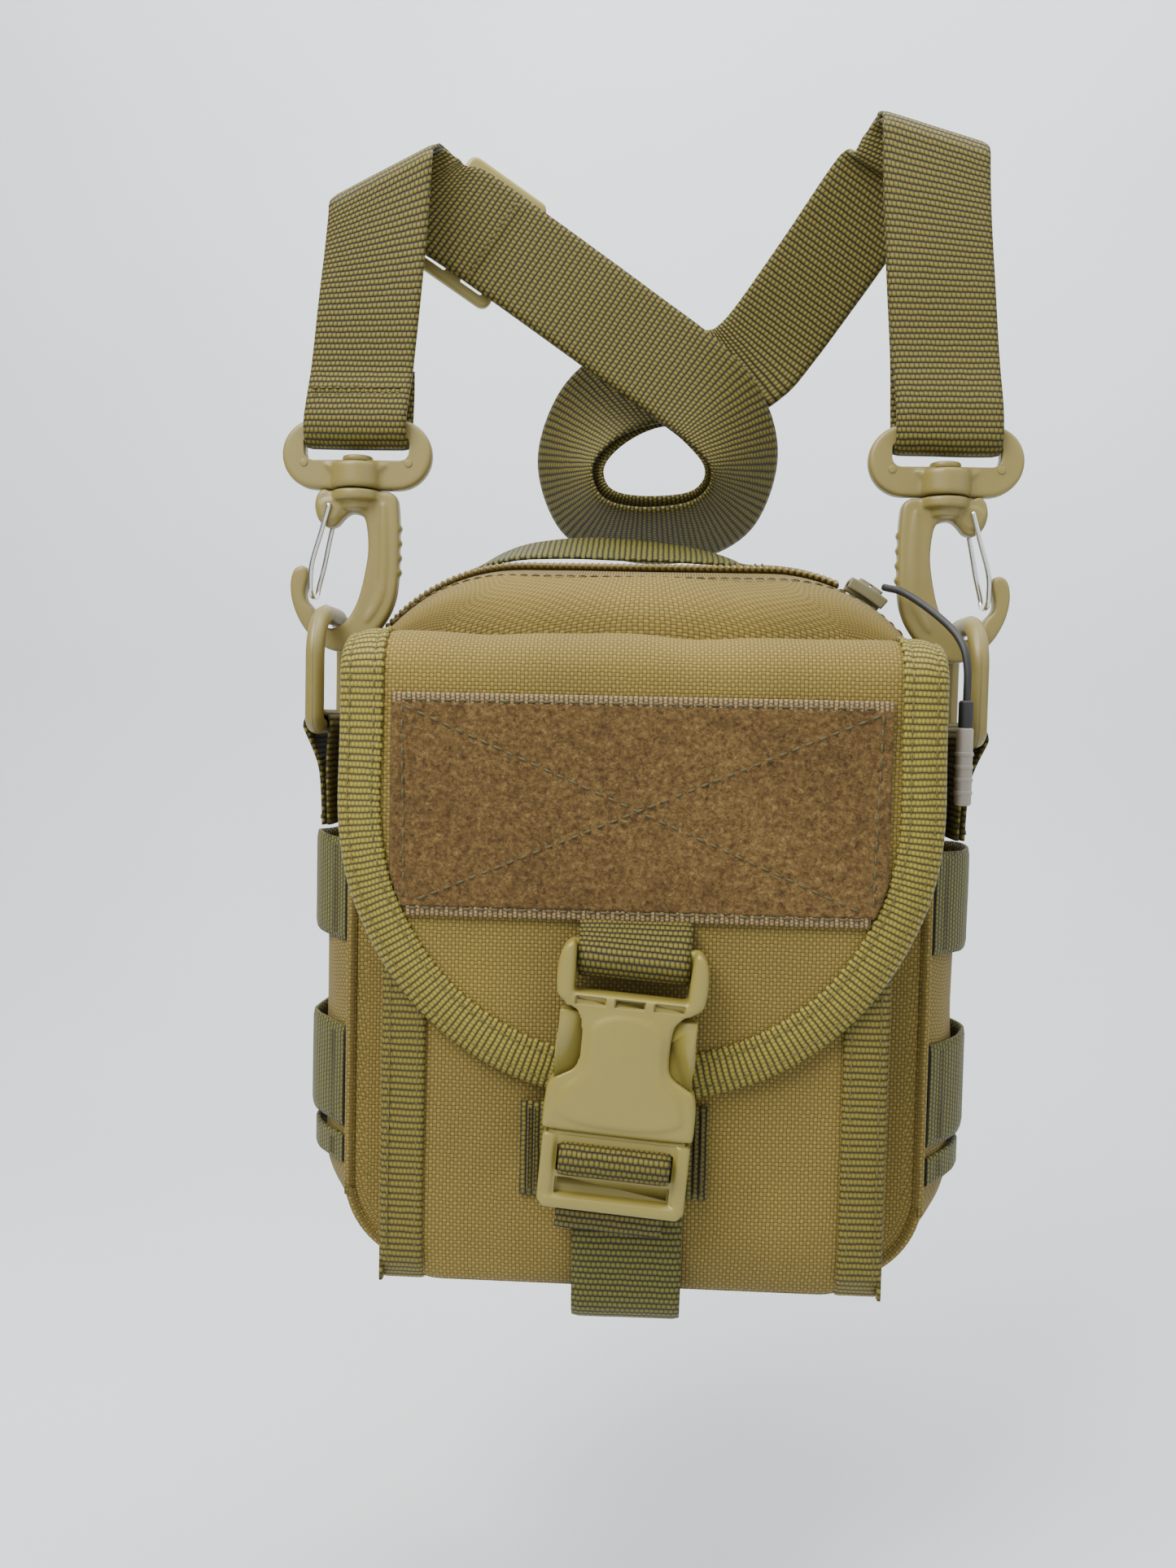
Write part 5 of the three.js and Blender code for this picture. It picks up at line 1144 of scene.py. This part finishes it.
# ------------------------------------------------------------------ swivel rings, snap hooks and gates
def oval(a, t, b, n): return arc(a, t, b, -90, 90, n) + arc(-a, t, b, 90, 270, n)
HOUT = [[-8.4, -0.4], [-10.2, -1.6], [-10.9, -5], [-11.1, -13], [-10.8, -24], [-9.4, -30], [-6.6, -34.8], [-3.2, -38.2], [1.0, -40.6], [5.2, -41.0],
    [9.4, -39.0], [13.0, -35.4], [15.6, -30.6], [16.7, -26.0], [16.6, -22.6], [15.7, -20.2], [14.0, -19.3], [12.5, -19.9],
    [12.0, -22.0], [12.8, -25.4], [12.6, -28.0], [10.9, -30.0], [9.9, -32.0], [8.9, -34.2], [6.2, -35.2], [3.4, -34.2], [1.0, -31.4], [-1.0, -27], [-2.6, -20], [-3.2, -14], [-2.4, -7.6],
    [-0.6, -6.2], [1.6, -6.0], [3.4, -7.4], [5.0, -9.2], [7.4, -9.6], [9.6, -7.8], [10.6, -4.4], [10.0, -1.2], [8.4, 0.1], [6.7, -0.4]]
def make_hook():
    H = [(x, z) for x, z in HOUT]
    H = [(p[0], p[1]) for p in cat([(a, b, 0) for a, b in H], 170)]
    body = plate(H, -2.4, 2.4, 0.95, steps=4)
    disc = cyl(0, 0, -2.95, -0.2, 6.3, 40, 0.5)
    neck = cyl(0, 0, -5.2, -2.0, 4.6, 32, 0.8)
    # small teeth down the spine on the bag side, flat boss at the gate's pivot
    teeth = [block(-11.75, -9.6, -1.5, 1.5, z - 0.75, z + 0.75, 0.5) for z in (-9.5, -13.2, -16.9, -20.6)]
    boss = plate([(6.6 + 2.9 * math.cos(2 * math.pi * k / 28), -5.2 + 2.9 * math.sin(2 * math.pi * k / 28)) for k in range(28)], -2.95, 2.95, 0.5)
    rib = plate(smooth_out([(-8.2, -3.5), (-8.6, -24), (-6.6, -30), (-3.2, -34.2), (-2.6, -32.8), (-5.2, -28.2), (-6.4, -22), (-6.2, -3.5)], 1), -2.85, 2.85, 0.5)
    b = join("hook", [body, disc, neck, boss, rib] + teeth)
    melt(b, 0.42, 4, 0.5)
    pin = cyl(0, 0, -1.0, 8.2, 2.6, 28, 0.3)
    head = cyl(0, 0, 6.9, 8.6, 3.9, 28, 0.6)
    split = block(-0.45, 0.45, -5, 5, 7.3, 9.6, 0.1, "XY")
    boolean(head, split)
    b = join("hook", [b, pin, head]); setmat(b, M["plastic2"])
    return b
def make_ring():
    zc = BAR_Z - HOOK_Z
    outer = oval(10.3, zc + 2.5 - 8.8, 8.9, 20)
    b = plate(outer, -2.2, 2.2, 1.1, steps=4)
    collar = cyl(0, 0, 0.2, 6.7, 6.6, 44, 0.9)
    web_ = plate(smooth_out([(-9, 7.2), (-5.5, 3.2), (5.5, 3.2), (9, 7.2)], 1), -2.9, 2.9, 0.7)
    b = join("ring", [b, collar, web_])
    melt(b, 0.42, 4, 0.5)
    boolean(b, plate([(x, z) for x, z in [*arc(12.0, 11.5, 1.6, 0, 90, 4), *arc(-12.0, 11.5, 1.6, 90, 180, 4), *arc(-11.2, 9.6, 2.3, 180, 270, 4), *arc(11.2, 9.6, 2.3, 270, 360, 4)]], -6, 6, 0.0))
    boolean(b, cyl(0, 0, -1, 9.5, 3.2, 28, 0.0))
    marks = []
    for xx in (-13.4, 13.4):
        marks.append(plate([(xx + 1.0 * math.cos(2 * math.pi * k / 18), 6.6 + 1.0 * math.sin(2 * math.pi * k / 18)) for k in range(18)], -2.45, -1.6, 0.2))
    b = join("ring", [b] + marks); setmat(b, M["plastic2"])
    return b
def make_gate():
    wr, yo = 0.6, 3.35
    gp = [(6.4, -yo, -3.9), (8.4, -yo, -11), (10.7, -yo, -19), (11.0, -yo, -24.6), (10.9, -yo + 0.5, -26.6), (10.8, -yo + 1.6, -27.2), (10.8, 0, -27.4), (10.8, yo - 1.6, -27.2), (10.7, yo - 0.5, -26.6), (10.6, yo, -24.6), (9.2, yo, -19), (7.8, yo, -12), (6.6, yo, -6.6)]
    return tube("gate", gp, wr + 0.05, M["steel"], 12, step=0.5)
for sgn, side in ((-1, "left"), (1, "right")):
    for fn, nm, body, slot_, node in ((make_ring, "swivel_ring", f"ring_{side}", "plastic", f"strap_ring_{side}"), (make_hook, "snap_hook_moulded", f"hook_{side}", "plastic", f"snap_hook_{side}"), (make_gate, "wire_gate", f"gate_{side}", "gate_steel", f"gate_wire_{side}")):
        o = fn()
        if sgn < 0: mirrored(o)
        shift(o, sgn * HOOK_X, HOOK_Y, HOOK_Z)
        final(o, f"{nm}_{side}", body, slot_, node)

# ------------------------------------------------------------------ shoulder strap
HW = STRAP_HW
def wrap_arc(x, r, a0, a1, n, w=HW):
    return [((x, HOOK_Y + r * math.cos(rad(a0 + (a1 - a0) * i / n)), BAR_Z + r * math.sin(rad(a0 + (a1 - a0) * i / n))), (w, 0, 0)) for i in range(n + 1)]
def fold(O, phi, r, a0, a1, n, hw=HW):
    ph = rad(phi); a = V((math.cos(ph), 0, math.sin(ph))); b = V((-math.sin(ph), 0, math.cos(ph)))
    out = []
    for i in range(n + 1):
        th = rad(a0 + (a1 - a0) * i / n); q = r * th
        p = V(O) + V((0, -1, 0)) * (r * math.cos(th)) + b * (r * math.sin(th)) + a * (q * math.tan(ph))
        out.append((tuple(p), tuple(a * (hw / math.cos(ph)))))
    return out
OL_, PHL, RF = (-68.8, -28.6, 172.6), 27, 4.2
OR_, PHR, rw = (68.8, -28.6, 182.6), -17.5, 4.3
T = 1.3
def layer(stations, off):
    """shift stations along their own normal by off"""
    out = []
    n = len(stations)
    for i, (p, w) in enumerate(stations):
        a = V(stations[max(0, i - 1)][0]); b = V(stations[min(n - 1, i + 1)][0])
        t = (b - a).normalized(); nn = t.cross(V(w)).normalized()
        o_ = off(i / (n - 1)) if callable(off) else off
        out.append((tuple(V(p) + nn * o_), w))
    return out
st = [((-72.8, -30.6, 127.5), (HW, 0, 0)), ((-73.2, -28.4, 122), (HW, 0, 0)), ((-73.8, HOOK_Y + rw, 114.5), (HW, 0, 0)), *wrap_arc(-HOOK_X, rw, 0, -180, 8),
      ((-73.8, HOOK_Y - rw, 116), (HW, 0, 0)), ((-73.2, -33.7, 123), (HW, 0, 0)), ((-72.7, -32.5, 129), (HW, 0, 0)), ((-71.0, -32.8, 146), (HW, 0, 0.8)), ((-69.7, -32.8, 160), (HW, 0, 3.2)), *fold(OL_, PHL, RF, 0, 92, 6)]
dl = strip("dl", st, T, M["web"], nx=18, wob=0.22, seed=11, cup=0.12)
rows = [dl]
for zz in (120.6, 122.2): rows.append(stitches("t", [(-73.2 - 12, -34.6, zz), (-73.2 + 12, -34.6, zz + 0.4)], M["thread_dark"], 1.9, 1.6, 0.32))
dl = join("strap_fall_left", rows); final(dl, "strap_fall_left", "bag", "webbing", "strap_drop_left")
st = [*fold(OR_, PHR, RF - 0.8, 92, 0, 6), ((69.5, -31.9, 168), (HW, 0, -2.2)), ((71.0, -31.4, 150), (HW, 0, -0.5)), ((72.6, -30.4, 132), (HW, 0, 0)), ((73.7, HOOK_Y + rw - 0.3, 119), (HW, 0, 0)), *wrap_arc(HOOK_X, rw, 0, -180, 8),
      ((73.7, HOOK_Y - rw, 119), (HW, 0, 0)), ((72.6, -33.6, 132), (HW, 0, 0)), ((71.0, -33.6, 150), (HW, 0, -0.5)), ((69.5, -33.7, 168), (HW, 0, -2.2)), *fold(OR_, PHR, RF + 0.9, 0, 92, 6)]
drr = strip("drop_r", st, T, M["web"], nx=18, wob=0.18, seed=21, cup=0.12)
final(drr, "strap_fall_right", "bag", "webbing", "strap_drop_right")
up_ = (0.56 * HW, 0, 0.83 * HW)
fl = fold(OL_, PHL, RF, 98, 180, 6)
e = fl[-1][0]
A_st = fl + [((e[0] + 5, -23.4, e[2] - 3.6), (0.70 * HW, 0, 0.72 * HW)), ((-50.5, -21.5, 169.8), (0.60 * HW, 0, 0.80 * HW)), ((-32.1, -18, 158.3), up_), ((-9.3, -15, 143.2), up_), ((-2, -14.3, 138.2), up_)]
frr = fold(OR_, PHR, RF, 98, 180, 6)
e = frr[-1][0]
sd = (0.80 * HW, 0, -0.59 * HW)
B_st = frr + [((e[0] - 3.4, -23.2, e[2] - 5.0), (0.88 * HW, 0, -0.46 * HW)), ((57.4, -19.4, 178.0), sd), ((44.5, -10, 160.6), sd), ((33.5, -4.0, 145.8), sd), ((30.5, -2.9, 142.2), sd)]
def kk(x, y, z, a, b, c):
    l = math.sqrt(a * a + b * b + c * c); return ((x, y, z), (a / l * HW, b / l * HW, c / l * HW))
K_st = [kk(-1.2, -14.2, 137.7, 0.56, 0, 0.83), kk(10.8, -13, 129.4, 0.60, 0.10, 0.80), kk(20.0, -10.5, 120.6, 0.78, 0.35, 0.52), kk(24.6, -6.5, 110.3, 0.72, 0.66, 0.18), kk(21.8, -1.5, 100.0, 0.50, 0.78, -0.25),
    kk(12.2, 2, 94.4, 0.18, 0.86, -0.44), kk(-3.8, 3, 93.6, -0.06, 0.88, -0.44), kk(-17.0, 2.5, 98.2, -0.42, 0.82, -0.26), kk(-21.6, 1.5, 110.4, -0.62, 0.76, 0.14), kk(-16.6, 1.6, 123.0, -0.66, 0.50, 0.54),
    kk(-6.0, 1.8, 131.4, -0.58, 0.18, 0.78), kk(8, 0.4, 134.0, -0.40, 0.02, 0.90), kk(20, -1.2, 134.8, -0.42, 0, 0.88), kk(27.2, -2.4, 138.6, -0.70, 0, 0.70), kk(30.2, -2.9, 141.8, -0.80, 0, 0.59)]
def doubled(name, stations, gap, seed, spread=None):
    o1 = strip("a", layer(stations, (lambda f: 0.72 + (spread(f) if spread else 0))), T, M["web"], nx=18, wob=0.2, seed=seed, cup=0.1)
    o2 = strip("b", layer(stations, (lambda f: -0.72 - (spread(f) * 0.45 if spread else 0))), T, M["web"], nx=18, wob=0.2, seed=seed + 5, cup=-0.1)
    return [o1, o2]
RUN = A_st[:-1] + K_st[1:-1] + [(p, tuple(-c for c in w)) for p, w in reversed(B_st[:-1])]
def spread(f):
    return 1.5 * math.sin(math.pi * (f - 0.34) / 0.34) if 0.34 < f < 0.68 else 0.0
rows = [strip("a", layer(RUN, lambda f: 0.72 + spread(f)), T, M["web"], nx=18, wob=0.2, seed=31, cup=0.1),
        strip("b", layer(RUN, lambda f: -0.72 - spread(f) * 0.45), T, M["web"], nx=18, wob=0.2, seed=36, cup=-0.1)]
pA = V((-41.5, -20.0, 164.2)); wA = V(up_)
rows.append(stitches("t", [tuple(pA - wA * 0.92 + V((0, -1.75, 0))), tuple(pA + wA * 0.92 + V((0, -1.75, 0)))], M["thread_dark"], 1.9, 1.6, 0.32))
knot = join("strap_knotted_run", rows)
final(knot, "strap_knotted_run", "bag", "webbing", "strap_diagonal_left", "strap_knot", "strap_diagonal_right")

def strap_slider():
    b = plate(round_rect(-15.9, 15.9, -12, 12, 2.4, 5), 0, 3.4, 1.0)
    melt(b, 0.42, 3, 0.5)
    for z0, z1 in ((2.2, 9), (-9, -2.2)): boolean(b, block(-13.2, 13.2, -2, 6, z0, z1, 0.6))
    setmat(b, M["plastic"])
    along = (V((-50.5, -21.5, 169.8)) - V((-32.1, -18, 158.3))).normalized()
    ac = V((0.58, 0, 0.81)); ac = (ac - along * ac.dot(along)).normalized()
    bk = along.cross(ac).normalized()
    if bk.y < 0: bk.negate(); ac.negate()
    at = V((-45.5, -20.5, 166.7)) + bk * 2.6
    m4 = Matrix(((ac.x, bk.x, along.x, at.x * S), (ac.y, bk.y, along.y, at.y * S), (ac.z, bk.z, along.z, at.z * S), (0, 0, 0, 1)))
    b.data.transform(m4)
    return b
ss = strap_slider(); final(ss, "strap_ladder_slider", "ladder_slider", "plastic", "strap_slider")

# ------------------------------------------------------------------ zip slider, cord and grip
cxx, czz = HALF_W - R_TOP, TOP_Z - R_TOP
def on_arc(deg, r): return (cxx + r * math.cos(rad(deg)), czz + r * math.sin(rad(deg)))
def zslider():
    parts = []
    def wedge(r0, r1, d0, d1, y0, y1, n=8, rr=0.4):
        o = [on_arc(d0 + (d1 - d0) * i / n, r1) for i in range(n + 1)] + [on_arc(d1 + (d0 - d1) * i / n, r0) for i in range(n + 1)]
        return plate(o, y0, y1, rr)
    parts.append(wedge(47.0, 48.2, 64, 51, -33.2, -25.0))
    parts.append(wedge(45.2, 48.0, 64, 51, -33.4, -32.4, rr=0.3)); parts.append(wedge(45.2, 48.0, 64, 51, -25.8, -24.8, rr=0.3))
    parts.append(wedge(48.0, 49.5, 61.5, 53.5, -30.4, -27.8, rr=0.5))
    b = join("zs", parts); melt(b, 0.34, 3, 0.5)
    hole = plate([(lambda c: (c[0] + 0.55 * math.cos(2 * math.pi * k / 14), c[1] + 0.55 * math.sin(2 * math.pi * k / 14)))(on_arc(57.5, 48.7)) for k in range(14)], -34, -24, 0.0)
    boolean(b, hole); setmat(b, M["paint"]); return b
z_ = zslider(); final(z_, "zip_slider_body", "zip_slider", "slider_paint", "zipper_slider")
cpts = [(59.2, -34.6, 74.6), (63.5, -40, 72.6), (69.6, -48, 66.8), (73.8, -54, 60.8), (75.3, -56.3, 54), (75.3, -56.3, 40.5)]
path = cat(cpts, 60)
cord = tube("pull_cord_black", path[::2] if len(path) % 2 else path, 0.9, M["black"], 12, step=1.0)
for i, v in enumerate(cord.data.vertices):
    pass
grip = plate(round_rect(73.5, 77.1, -58.1, -54.5, 1.2, 5), 22, 40.2, 0.7, "XY", mat=M["grey"])
gr = [plate(round_rect(73.3, 77.3, -58.3, -54.3, 1.3, 5), z, z + 1.1, 0.4, "XY", mat=M["grey"]) for z in (24.5, 27.5, 30.5, 33.5)]
top_ = plate(round_rect(73.7, 76.9, -57.9, -54.7, 1.2, 5), 40.0, 46.5, 0.6, "XY", mat=M["black"])
grip = join("pull_grip_moulded", [grip] + gr)
final(cord, "pull_cord_black", "zip_pull", "pull_black", "zipper_pull_cord")
final(grip, "pull_grip_moulded", "zip_pull", "pull_grey", "zipper_pull_grip")
final(top_, "pull_grip_sleeve", "zip_pull", "pull_black")
